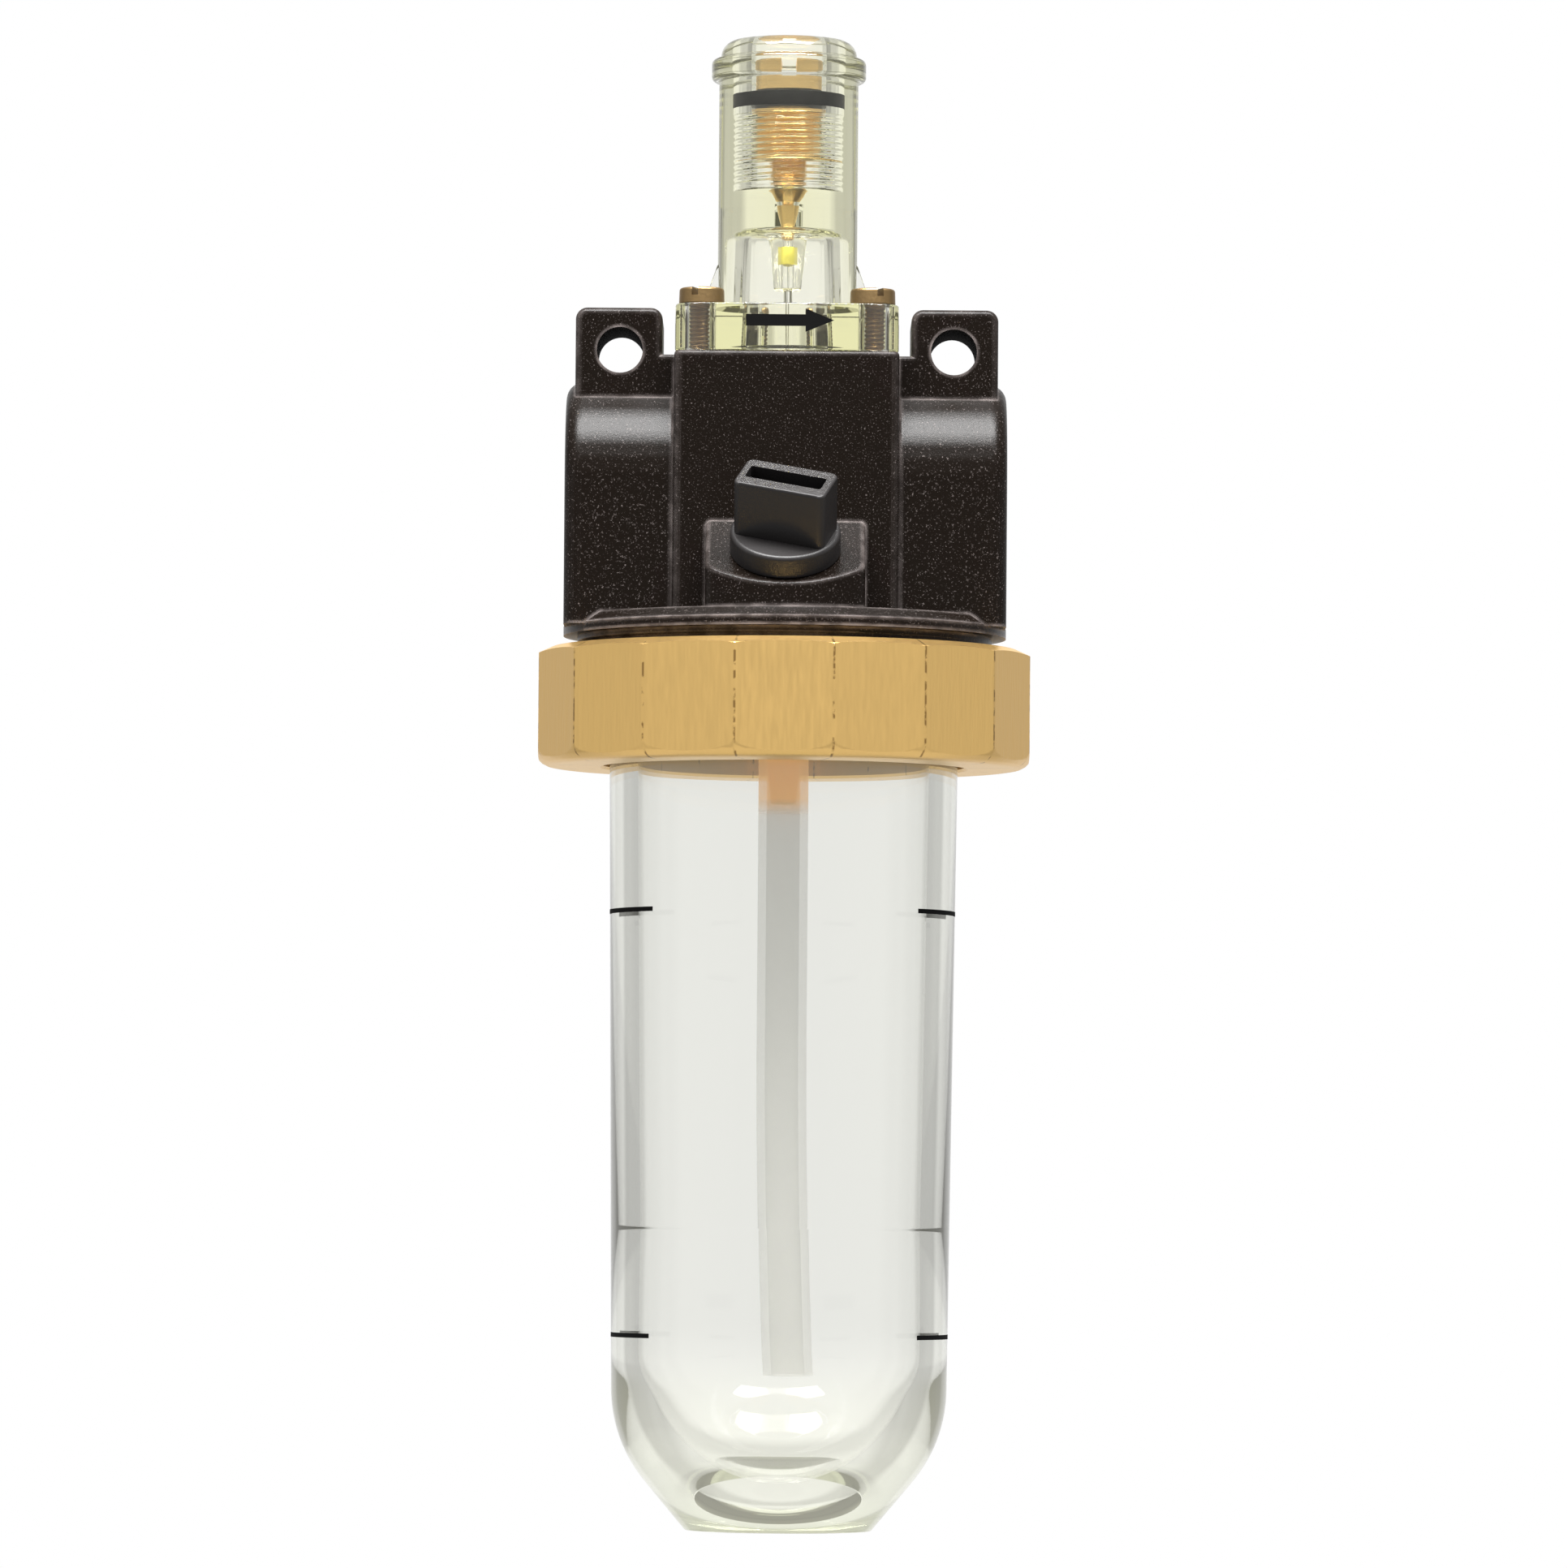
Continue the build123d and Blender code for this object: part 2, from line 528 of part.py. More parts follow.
def drip_jet():
    """Small jet in the end of the dome's nozzle."""
    return Pos(0, 0, BLOCK_TOP) * ring(JET_R, JET_BORE_R, JET_H, JET_TOP_H)


def dome_gasket():
    """Sealing ring between dome and block."""
    return Pos(0, 0, BLOCK_TOP) * seal(DOME_RING_R_OUT, DOME_RING_R_IN, 0, DOME_RING_T)


def riser_seal():
    """Small sealing ring round the oil way, between dome and block."""
    return Pos(0, 0, BLOCK_TOP) * seal(RISER_RING_R, DOME_WAY_R, 0, RISER_RING_T, 0, RISER_Y)


def dome_screw(place, slot_angle):
    """Slotted cheese-head screw in a corner of the dome's flange."""
    head_low = BLOCK_TOP + DOME_FLANGE_T
    head = rod(SCREW_HEAD_R, head_low, head_low + SCREW_HEAD_H)
    head = fillet(head.edges().group_by(Axis.Z)[-1], SCREW_HEAD_EDGE_R)
    slot_floor = SCREW_HEAD_H - SCREW_SLOT_DEPTH
    half = SCREW_SLOT_W / 2
    slot = cuboid(
        (-2 * SCREW_HEAD_R, 2 * SCREW_HEAD_R), (-half, half), (slot_floor, SCREW_HEAD_H + OVERCUT)
    )
    head -= Pos(0, 0, head_low) * Rot(0, 0, slot_angle) * slot
    shank = rod(SCREW_R, BLOCK_TOP - SCREW_GRIP, head_low)
    shank = chamfer(shank.edges().group_by(Axis.Z)[0], SCREW_TIP_CHAMFER)
    return Pos(*place, 0) * (head + shank)


def adjusting_screw():
    """Needle screw: slotted head, ring groove and threaded barrel."""
    slot_floor = ADJ_TOP_H - ADJ_SLOT_DEPTH
    form = rod(ADJ_THREAD_R, ADJ_THREAD_H, ADJ_THREAD_H + ADJ_THREAD_L)
    form += rod(ADJ_CORE_R, ADJ_THREAD_H, slot_floor)
    head = rod(ADJ_HEAD_R, ADJ_HEAD_H, ADJ_TOP_H)
    form += chamfer(head.edges().group_by(Axis.Z)[-1], ADJ_HEAD_CHAMFER)
    half = ADJ_SLOT_W / 2
    form -= cuboid((-half, half), (-WELL_R, WELL_R), (slot_floor, ADJ_TOP_H + OVERCUT))
    shank_top = NEEDLE_SHANK_H + NEEDLE_SHANK_L
    form -= rod(NEEDLE_SHANK_R + SEAT_CLEARANCE, ADJ_THREAD_H - OVERCUT, shank_top)
    return Pos(0, 0, BLOCK_TOP) * form


def metering_needle():
    """Needle with a threaded shank, screwed into the end of the adjusting screw."""
    form = taper(NEEDLE_TIP_R, NEEDLE_R, NEEDLE_TIP_H, NEEDLE_SHANK_H)
    form += rod(NEEDLE_SHANK_R, NEEDLE_SHANK_H, NEEDLE_SHANK_H + NEEDLE_SHANK_L)
    return Pos(0, 0, BLOCK_TOP) * form


def adjusting_screw_o_ring():
    """Sealing ring of the adjusting screw, sliding in the dome's bore."""
    ring_r = WELL_R - SLIDE_CLEARANCE
    form = seal(ring_r, ADJ_CORE_R + SLIDE_CLEARANCE, ADJ_RING_H, ADJ_RING_H + ADJ_RING_T)
    return Pos(0, 0, BLOCK_TOP) * form


def venturi_insert():
    """Waisted tube in the air passage, with the drip hole on top of its throat."""
    half, throat = VENTURI_L / 2, VENTURI_THROAT_L / 2
    shell_r = BORE_R - SEAT_CLEARANCE
    form = turned([
        (VENTURI_MOUTH_R, -half), (shell_r, -half), (shell_r, half), (VENTURI_MOUTH_R, half),
        (VENTURI_THROAT_R, throat), (VENTURI_THROAT_R, -throat),
    ])
    form = Pos(0, 0, PORT_Z) * Rot(0, 90, 0) * form
    return form - rod(VENTURI_DRIP_R, PORT_Z, PORT_Z + BORE_R + OVERCUT)


def tube_fitting():
    """Brass fitting under the body: threaded stem with the ball chamber, hexagon and barb."""
    hex_low = RECESS_TOP - FITTING_HEX_H
    stem = rod(FITTING_R, RECESS_TOP, FITTING_TOP)
    hexagon = RegularPolygon(FITTING_HEX / 2, 6, major_radius=False)
    form = stem + Pos(0, 0, hex_low) * extrude(hexagon, FITTING_HEX_H)
    tip = hex_low - BARB_L
    form += rod(BARB_R, tip + BARB_TAPER_L, hex_low)
    form += taper(BARB_TIP_R, BARB_R, tip, tip + BARB_TAPER_L)
    form -= rod(FITTING_BORE_R, tip - OVERCUT, FITTING_TOP)
    return form - rod(CHAMBER_R, CHAMBER_FLOOR, FITTING_TOP + OVERCUT)


def check_ball():
    """Ball that stops the oil from running back, on its seat in the fitting."""
    return Pos(0, 0, BALL_Z) * Sphere(BALL_R)


def ball_retainer():
    """Cross-slotted disc that keeps the ball in its chamber."""
    top = RETAINER_Z + RETAINER_T
    disc = rod(CHAMBER_R - SEAT_CLEARANCE, RETAINER_Z, top)
    half, reach = RETAINER_SLOT_W / 2, CHAMBER_R + OVERCUT
    notch = cuboid((BALL_R / 2, reach), (-half, half), (RETAINER_Z - OVERCUT, top + OVERCUT))
    for turn in range(0, 360, 90):
        disc -= Rot(0, 0, turn) * notch
    return disc


def dip_tube():
    """Flexible pick-up tube, pushed on the barb and set slightly to the right below."""
    bend_z = TUBE_END + TUBE_BENT_L
    turn = 2 * atan(TUBE_BEND_OFFSET / TUBE_BENT_L)
    bend_r = TUBE_BENT_L / sin(turn)
    half_turn = turn / 2
    middle = (bend_r * (1 - cos(half_turn)), 0, bend_z - bend_r * sin(half_turn))
    end = (bend_r * (1 - cos(turn)), 0, bend_z - bend_r * sin(turn))
    path = Line((0, 0, TUBE_TOP), (0, 0, bend_z)) + ThreePointArc((0, 0, bend_z), middle, end)
    section = Plane((0, 0, TUBE_TOP)) * (Circle(TUBE_R) - Circle(TUBE_BORE_R))
    return sweep(section, path)


def bowl_outside():
    """Right half of the bowl's outer outline, from the foot's middle to the rim's middle."""
    slope = radians(BOWL_CONE)
    low = BOWL_FOOT + BOWL_LOW_Z
    centre_r = BOWL_R_LOW - BOWL_BEND_R
    bend_end = (centre_r + BOWL_BEND_R * cos(slope), low - BOWL_BEND_R * sin(slope))
    bend_mid = (
        centre_r + BOWL_BEND_R * cos(slope / 2), low - BOWL_BEND_R * sin(slope / 2)
    )
    foot_r = bend_end[0] - (bend_end[1] - BOWL_FOOT) * tan(slope)
    foot = Polyline((0, BOWL_FOOT), (foot_r, BOWL_FOOT), bend_end)
    bend = ThreePointArc(bend_end, bend_mid, (BOWL_R_LOW, low))
    wall = Polyline(
        (BOWL_R_LOW, low), (BOWL_R_TOP, NUT_BOTTOM), (BOWL_R_TOP, SLIP_TOP),
        (BOWL_FLANGE_R, SLIP_TOP), (BOWL_FLANGE_R, BOWL_TOP), (0, BOWL_TOP), (0, BOWL_FOOT),
    )
    return foot + bend + wall


def bowl_inside():
    """Right half of the bowl's hollow, with its round floor."""
    floor = BOWL_FOOT + BOWL_FLOOR
    centre = floor + BOWL_BORE_LOW
    middle = (BOWL_BORE_LOW * cos(pi / 4), centre - BOWL_BORE_LOW * sin(pi / 4))
    dish = ThreePointArc((0, floor), middle, (BOWL_BORE_LOW, centre))
    above = BOWL_TOP + OVERCUT
    wall = Polyline(
        (BOWL_BORE_LOW, centre), (BOWL_BORE_TOP, BOWL_TOP), (BOWL_BORE_TOP, above),
        (0, above), (0, floor),
    )
    return dish + wall


def bowl():
    """Clear oil bowl with a flanged rim and a groove for its sealing ring."""
    shell = revolve(Plane.XZ * make_face(bowl_outside()), Axis.Z)
    shell -= revolve(Plane.XZ * make_face(bowl_inside()), Axis.Z)
    half = BOWL_RING_W / 2 + SEAT_CLEARANCE
    groove_floor = BOWL_TOP - BOWL_RING_DEPTH
    return shell - ring(BOWL_RING_R + half, BOWL_RING_R - half, groove_floor, BOWL_TOP + OVERCUT)


def bowl_o_ring():
    """Sealing ring between bowl rim and neck."""
    half = BOWL_RING_W / 2
    return seal(BOWL_RING_R + half, BOWL_RING_R - half, BOWL_TOP - BOWL_RING_DEPTH, NECK_END)


def slip_ring():
    """Flat ring that lets the nut turn under the bowl's flange."""
    return ring(BOWL_FLANGE_R, BOWL_R_TOP + TURN_CLEARANCE, NUT_LIP_TOP, SLIP_TOP)


def union_nut():
    """Sixteen-sided ring nut that holds the bowl by its flange."""
    flats = RegularPolygon(NUT_FLATS / 2, NUT_SIDES, major_radius=False, rotation=180 / NUT_SIDES)
    prism = Pos(0, 0, NUT_BOTTOM) * extrude(flats, NUT_TOP - NUT_BOTTOM)
    corner_r = NUT_FLATS / 2 / cos(pi / NUT_SIDES)
    blank = rod(corner_r, NUT_BOTTOM, NUT_TOP)
    blank = fillet(blank.edges().group_by(Axis.Z)[0], NUT_ROUND_R)
    blank = chamfer(blank.edges().group_by(Axis.Z)[-1], NUT_CHAMFER_H, NUT_CHAMFER_W)
    nut = prism & blank
    nut -= rod(NUT_LIP_R, NUT_BOTTOM - OVERCUT, NUT_TOP)
    return nut - rod(NUT_THREAD_R, NUT_LIP_TOP, NUT_TOP + OVERCUT)


def fill_plug():
    """Moulded filling plug: disc, hollow grip and threaded stem."""
    disc = rod(PLUG_HEAD_R, 0, PLUG_HEAD_T)
    disc = fillet(disc.edges().group_by(Axis.Z)[-1], PLUG_HEAD_EDGE_R)
    grip_top = PLUG_HEAD_T + PLUG_GRIP_H
    long_half, short_half = PLUG_GRIP_L / 2, PLUG_GRIP_W / 2
    grip = cuboid((-long_half, long_half), (-short_half, short_half), (PLUG_HEAD_T / 2, grip_top))
    grip = fillet(grip.edges().filter_by(Axis.Z), PLUG_CORNER_R)
    pocket_long, pocket_short = long_half - PLUG_GRIP_WALL, short_half - PLUG_GRIP_SIDE
    pocket_floor = grip_top - PLUG_POCKET_DEPTH
    pocket = cuboid(
        (-pocket_long, pocket_long), (-pocket_short, pocket_short), (pocket_floor, grip_top + OVERCUT)
    )
    stem = rod(FILL_THREAD_R, -PLUG_STEM_L, 0)
    stem = chamfer(stem.edges().group_by(Axis.Z)[0], PLUG_STEM_CHAMFER)
    form = disc + stem + Rot(0, 0, PLUG_TURN) * (grip - pocket)
    return FILL_PLANE.location * form


def fill_plug_o_ring():
    """Sealing ring under the disc of the filling plug."""
    bore = FILL_THREAD_R + SLIDE_CLEARANCE
    form = seal(PLUG_RING_R - SLIDE_CLEARANCE, bore, -PLUG_RING_T, 0)
    return FILL_PLANE.location * form


NODES = {
    "body": body,
    "sight_dome": sight_dome,
    "drip_jet": drip_jet,
    "dome_gasket": dome_gasket,
    "riser_seal": riser_seal,
    "adjusting_screw": adjusting_screw,
    "metering_needle": metering_needle,
    "adjusting_screw_o_ring": adjusting_screw_o_ring,
    "venturi_insert": venturi_insert,
    "tube_fitting": tube_fitting,
    "check_ball": check_ball,
    "ball_retainer": ball_retainer,
    "dip_tube": dip_tube,
    "bowl": bowl,
    "bowl_o_ring": bowl_o_ring,
    "slip_ring": slip_ring,
    "union_nut": union_nut,
    "fill_plug": fill_plug,
    "fill_plug_o_ring": fill_plug_o_ring,
}

os.makedirs("parts", exist_ok=True)
for name, make in NODES.items():
    export_step(make(), f"parts/{name}.step")
for number, (place, angle) in enumerate(zip(screw_places(), SCREW_SLOT_ANGLES), start=1):
    export_step(dome_screw(place, angle), f"parts/dome_screw_{number}.step")
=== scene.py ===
from math import cos, pi, radians, sin, tan, tau

import bmesh
import bpy
from mathutils import Matrix, Vector


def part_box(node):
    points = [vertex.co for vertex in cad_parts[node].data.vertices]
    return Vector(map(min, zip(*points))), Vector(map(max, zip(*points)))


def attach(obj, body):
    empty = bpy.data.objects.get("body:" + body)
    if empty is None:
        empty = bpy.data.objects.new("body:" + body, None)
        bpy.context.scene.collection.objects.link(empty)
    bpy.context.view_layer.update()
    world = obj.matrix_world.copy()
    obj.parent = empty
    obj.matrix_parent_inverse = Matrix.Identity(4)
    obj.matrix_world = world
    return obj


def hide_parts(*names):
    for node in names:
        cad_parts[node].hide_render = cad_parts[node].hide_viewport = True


# Air line lubricator, dressed for the camera. The pieces are modelled in millimetres in the
# frame of the CAD model and brought to metres when they are set in place. Heights are from the
# fixing holes, as in the CAD model, and those of the sight dome from the top of the block.

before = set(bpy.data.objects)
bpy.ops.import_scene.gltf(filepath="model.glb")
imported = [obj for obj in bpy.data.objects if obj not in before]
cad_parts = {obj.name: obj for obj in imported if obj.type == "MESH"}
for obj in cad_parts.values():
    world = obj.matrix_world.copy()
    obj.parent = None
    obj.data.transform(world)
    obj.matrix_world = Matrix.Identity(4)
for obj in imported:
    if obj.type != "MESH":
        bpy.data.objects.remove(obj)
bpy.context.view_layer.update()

MM = 0.001
ROUND_STEPS = 5  # rows in a rounded edge
FINEST = 192  # sides of the nut and the bowl
FINE = 128  # sides of the large round pieces
MEDIUM = 96
COARSE = 64
SMALL = 48
TINY = 24
OVERCUT = 1.0  # cutters reach this far past a face
GAP = 0.02  # left between pieces that touch
SQUEEZE = 0.01  # pressed or oiled together, so that no air gap shows in the clear plastic
THIN_EDGE = 0.1  # usual roundings of edges
SMALL_EDGE = 0.15
SOFT_EDGE = 0.3
FLAT_AREA = 1.5  # smallest flat stretch that keeps its own shading, in square millimetres
FLAT_LIMIT = cos(radians(0.6))


def cad_box(node):
    """Lowest and highest corner of a CAD node, in millimetres."""
    low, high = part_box(node)
    return low / MM, high / MM


# Body, from the CAD model
BLOCK_TOP = cad_box("sight_dome")[0].z
ON_BLOCK = Matrix.Translation((0, 0, BLOCK_TOP))
PORT_Z = -15.4
PORT_R = 7.475
PORT_DEPTH = 12.0
PORT_THREAD = 0.86  # depth of the pipe thread
PORT_PITCH = 1.337
PORT_SPAN = 52.8
NECK_R = 24.9
NECK_TOP = -34.0
NECK_END = cad_box("body")[0].z
NECK_PITCH = 2.0
NECK_THREAD = 1.15
FILL_PITCH = 1.5
FILL_THREAD = 0.8
FILL_SEAT = Vector((0.0, -19.0, -24.798))
FILL_TILT = 35.0  # in degrees from upright, to the front
ON_PLUG_SEAT = Matrix.Translation(FILL_SEAT) @ Matrix.Rotation(radians(FILL_TILT), 4, "X")
FILL_RING_T = 1.8

# Sight dome, heights above the block top
DOME_FLANGE_W = 26.7
DOME_FLANGE_T = 5.7
ARROW_H = 3.6  # middle of the flow arrow
DOME_CORNER_R = 3.1
DOME_EDGE_R = 0.3
DOME_R = 8.4
DOME_H = 38.6
DOME_COLLAR_R = 9.3
DOME_COLLAR_LOW = 33.6
DOME_COLLAR_TOP = 36.3
DOME_CAP_R = 8.2
DOME_CAP_ROUND_R = 2.0
DOME_LIFT = 0.03  # flange off the block
BELL_H = 15.7
BELL_R_LOW = 5.6
BELL_R_TOP = 4.85
BELL_ROUND_R = 1.8
NOZZLE_END_H = 8.5
NOZZLE_R_LOW = 1.6
NOZZLE_R_TOP = 2.4
JET_R = 0.7
JET_BORE_R = 0.3
JET_H = 11.5
JET_TOP_H = 13.7
WELL_H = 20.2
WELL_WIDE_H = 29.5
WELL_R = 4.55
WELL_THREAD_R = 4.5
SCREW_THREAD_R = 4.45
SCREW_THREAD = 0.34
WELL_THREAD = 0.16  # the moulded thread is shallow
SCREW_PITCH = 0.75
RIB_REACH = 10.4
RIB_LOW_H = 1.2  # the ribs begin inside the flange
RIB_TOP_H = 11.5
RIB_T = 2.6
RIB_EDGE = 0.25
WAY_R = 0.6
WAY_Y = 7.2
WAY_TURN_H = 6.0
WAY_TOP_H = 18.5
RISER_Y = 9.6
RISER_RING_R = 1.7
RISER_RING_T = 0.8
GASKET_R_IN = 6.0
GASKET_R_OUT = 7.3
GASKET_T = 1.0

# Needle screw and needle, heights above the block top
ADJ_LOW_H = 23.7
ADJ_THREAD_L = 6.3
ADJ_CORE_R = 2.9
ADJ_RING_H = 30.3
ADJ_RING_T = 1.8
ADJ_RING_EDGE = 0.08
ADJ_HEAD_R = 4.0
ADJ_HEAD_H = 32.25
ADJ_TOP_H = 35.95
ADJ_SLOT_W = 1.6
ADJ_SLOT_DEPTH = 1.8
NEEDLE_TIP_H = 14.5
NEEDLE_TIP_R = 0.5
NEEDLE_SHANK_H = 21.0
NEEDLE_R = 1.05
NEEDLE_SHANK_R = 2.3
NEEDLE_SHANK_L = 6.5
NEEDLE_THREAD = 0.3
NEEDLE_PITCH = 0.5

# Dome screws
DOME_SCREW_AT = 10.2  # their middles from the dome's axis, in X and in Y
DOME_SCREW_R = 1.5
DOME_SCREW_HOLE_R = 1.65
DOME_SCREW_THREAD = 0.3
DOME_SCREW_PITCH = 0.5
DOME_SCREW_GRIP = 8.0
DOME_SCREW_HEAD_R = 2.72
DOME_SCREW_HEAD_H = 1.9
DOME_SCREW_SLOT_W = 0.8
DOME_SCREW_SLOT_DEPTH = 1.0
DOME_SCREW_SLOT_ANGLES = (72.0, 110.0, 70.0, 12.0)
EAR_HOLE_AT = 20.0
EAR_HOLE_R = 2.75

# Bowl
BOWL_FOOT = cad_box("bowl")[0].z
BOWL_TOP = cad_box("bowl")[1].z
BOWL_FLANGE_R = 24.3
BOWL_FLANGE_LOW = -45.2
BOWL_R_TOP = 20.9
BOWL_R_LOW = 20.1
BOWL_BORE_TOP = 17.6
BOWL_BORE_LOW = 16.9
BOWL_WALL_TOP = -49.7  # the outer wall narrows from here down
BOWL_WALL_LOW = BOWL_FOOT + 17.0
BOWL_BEND_R = 17.4
BOWL_CONE = 40.0  # slope of the lower cone from upright, in degrees
BOWL_FLOOR = 4.4
BOWL_RING_R = 20.95
BOWL_RING_W = 2.2
BOWL_RING_DEPTH = 1.5
LEVEL_MAX = BOWL_FOOT + 73.9
LEVEL_MIN = BOWL_FOOT + 23.3
LEVEL_T = 0.55
LEVEL_STEPS = 24
INK_LIFT, INK_T = 0.005, 0.03
WITNESS_Z = BOWL_FOOT + 36.1  # moulding mark round the bore
BOWL_STEPS = 24  # rows in the round floor, and in the bend outside
BEND_STEPS = 14
WITNESS_W = 0.6
WITNESS_DEPTH = 0.08

# Ring nut
NUT_LOW, NUT_HIGH = cad_box("union_nut")
NUT_SIDES = 16
NUT_FLATS = NUT_HIGH.x - NUT_LOW.x
NUT_LIP_R = 21.8
NUT_LIP_T = 3.5
NUT_THREAD_R = 24.95
NUT_ROUND_R = 2.2
NUT_CHAMFER_H = 0.9
NUT_CHAMFER_W = 2.0
NUT_EDGE = 0.25
NUT_RELIEF_H = 3.5  # plain bore between the lip and the thread

# Fitting and pick-up tube
FITTING_TOP = -30.0
FITTING_R = 4.95
FITTING_THREAD = 0.6
FITTING_PITCH = 1.0
FITTING_FLATS = 11.0
FITTING_HEX_TOP = -36.0
FITTING_HEX_LOW = -40.0
HEX_CHAMFER_W = 0.7
HEX_CHAMFER_H = 0.45
FITTING_BORE_R = 1.0
BARB_R = 1.98
BARB_TIP_R = 1.5
BARB_L = 13.8
BARB_TAPER_L = 4.6
CHAMBER_R = 2.2
CHAMBER_FLOOR = -37.6
BALL_R = 1.6
BALL_Z = -36.331
TUBE_R = 3.0
TUBE_BORE_R = 2.0
TUBE_TOP = -40.5
TUBE_END = -123.6
TUBE_BENT_L = 43.8
TUBE_BEND_OFFSET = 1.1
TUBE_STEPS = 40

# Filling plug, along its own axis from the seat
PLUG_HEAD_R = 6.55
PLUG_HEAD_T = 2.9
PLUG_GRIP_L = 11.3
PLUG_GRIP_W = 6.0
PLUG_GRIP_H = 7.1
PLUG_GRIP_WALL = 0.95
PLUG_GRIP_SIDE = 1.7
PLUG_POCKET_DEPTH = 5.6
PLUG_CORNER_R = 0.9
PLUG_TURN = -18.5  # grip turned about its axis, in degrees
PLUG_STEM_R = 4.9
PLUG_STEM_L = 9.0
PLUG_RING_R = 5.98


# Shapes

def rounded(corners):
    """Outline whose corners of (radius, height, rounding) are eased; others stay as they are."""
    outline = []
    for i, corner in enumerate(corners):
        if len(corner) != 3:
            outline.append(corner)
            continue
        here = Vector(corner[:2])
        back = (Vector(corners[i - 1][:2]) - here).normalized()
        ahead = (Vector(corners[(i + 1) % len(corners)][:2]) - here).normalized()
        half = back.angle(ahead) / 2
        centre = here + (back + ahead).normalized() * corner[2] / sin(half)
        first = here + back * corner[2] / tan(half) - centre
        last = here + ahead * corner[2] / tan(half) - centre
        sweep = first.angle(last)
        for step in range(ROUND_STEPS + 1):
            share = step / ROUND_STEPS
            ray = first * sin((1 - share) * sweep) + last * sin(share * sweep)
            outline.append(tuple(centre + ray / sin(sweep)))
    return outline


def threaded(radius, start, end, pitch, depth, rows=8):
    """Outline points of a screw thread between two heights, shallow at both ends."""
    count = round(abs(end - start) / pitch * rows)
    points = []
    for k in range(count + 1):
        height = start + (end - start) * k / count
        ends = min(abs(height - start), abs(height - end)) / (0.6 * pitch)
        points.append((radius, height, depth * min(1.0, ends), pitch))
    return points


def groove_share(turn):
    """How deep a thread is at a share of its turn: 0 on the crest, 1 in the root."""
    wave = abs(2 * (turn % 1) - 1)
    return min(1.0, max(0.0, 1.3 * wave - 0.15))


def in_scene(name, data):
    """New object with its data, linked to the scene."""
    obj = bpy.data.objects.new(name, data)
    bpy.context.scene.collection.objects.link(obj)
    return obj


def new_object(name, shape):
    """Object in millimetres from a bmesh, which is used up."""
    bmesh.ops.recalc_face_normals(shape, faces=shape.faces)
    mesh = bpy.data.meshes.new(name)
    shape.to_mesh(mesh)
    shape.free()
    return in_scene(name, mesh)


def skin(shape, rows, around=True):
    """Faces between each row of points and the next, and between the last row and the first."""
    count = len(rows[0])
    for lower, upper in zip(rows, rows[1:] + rows[:1]):
        for k in range(count if around else count - 1):
            after = (k + 1) % count
            corners = (lower[k], lower[after], upper[after], upper[k])
            distinct = list(dict.fromkeys(corners))
            if len(distinct) > 2:
                shape.faces.new(distinct)


def turned(name, outline, sides=MEDIUM):
    """Piece turned about Z from an outline. It is a ring, or a solid if its ends are on the axis."""
    shape = bmesh.new()
    rows = []
    for point in outline:
        radius, height = point[:2]
        if radius == 0:
            rows.append([shape.verts.new((0, 0, height))] * sides)
            continue
        row = []
        for k in range(sides):
            reach = radius
            if len(point) == 4:
                reach -= point[2] * groove_share(height / point[3] - k / sides)
            angle = tau * k / sides
            row.append(shape.verts.new((reach * cos(angle), reach * sin(angle), height)))
        rows.append(row)
    skin(shape, rows)
    return new_object(name, shape)


def extruded(name, corners, shift):
    """Solid made by pushing a flat outline of points along a vector."""
    shape = bmesh.new()
    base = shape.faces.new([shape.verts.new(corner) for corner in corners])
    top = bmesh.ops.extrude_face_region(shape, geom=[base])
    pushed = [item for item in top["geom"] if isinstance(item, bmesh.types.BMVert)]
    bmesh.ops.translate(shape, verts=pushed, vec=shift)
    return new_object(name, shape)


def prism(name, plan, low, high):
    """Upright prism over a plan of (x, y) points."""
    return extruded(name, [(x, y, low) for x, y in plan], (0, 0, high - low))


def polygon(sides, flats, turn=0.0):
    """Plan of a regular polygon from its width over flats. Its turn is a share of a side."""
    corner = flats / 2 / cos(pi / sides)
    angles = [(k + turn) * tau / sides for k in range(sides)]
    return [(corner * cos(angle), corner * sin(angle)) for angle in angles]


def rounded_rectangle(width, depth, radius, steps=8):
    """Plan of a rectangle with round corners, about the axis."""
    plan = []
    for turn, (sx, sy) in enumerate(((1, 1), (-1, 1), (-1, -1), (1, -1))):
        for k in range(steps + 1):
            angle = (turn + k / steps) * pi / 2
            x = sx * (width / 2 - radius) + radius * cos(angle)
            y = sy * (depth / 2 - radius) + radius * sin(angle)
            plan.append((x, y))
    return plan


def box(name, x, y, z):
    """Box from three (low, high) pairs."""
    plan = [(x[0], y[0]), (x[1], y[0]), (x[1], y[1]), (x[0], y[1])]
    return prism(name, plan, z[0], z[1])


def rod(name, radius, start, end, sides=SMALL):
    """Round rod from one point to another."""
    start, end = Vector(start), Vector(end)
    along = end - start
    obj = turned(name, [(0, 0), (radius, 0), (radius, along.length), (0, along.length)], sides)
    obj.data.transform(Matrix.Translation(start) @ along.to_track_quat("Z", "Y").to_matrix().to_4x4())
    return obj


def moved(obj, matrix):
    """The piece with its points moved by a matrix."""
    obj.data.transform(matrix)
    return obj


def with_step_applied(obj):
    """The piece with its modifier applied."""
    graph = bpy.context.evaluated_depsgraph_get()
    old, obj.data = obj.data, bpy.data.meshes.new_from_object(obj.evaluated_get(graph))
    obj.modifiers.clear()
    bpy.data.meshes.remove(old)
    return obj


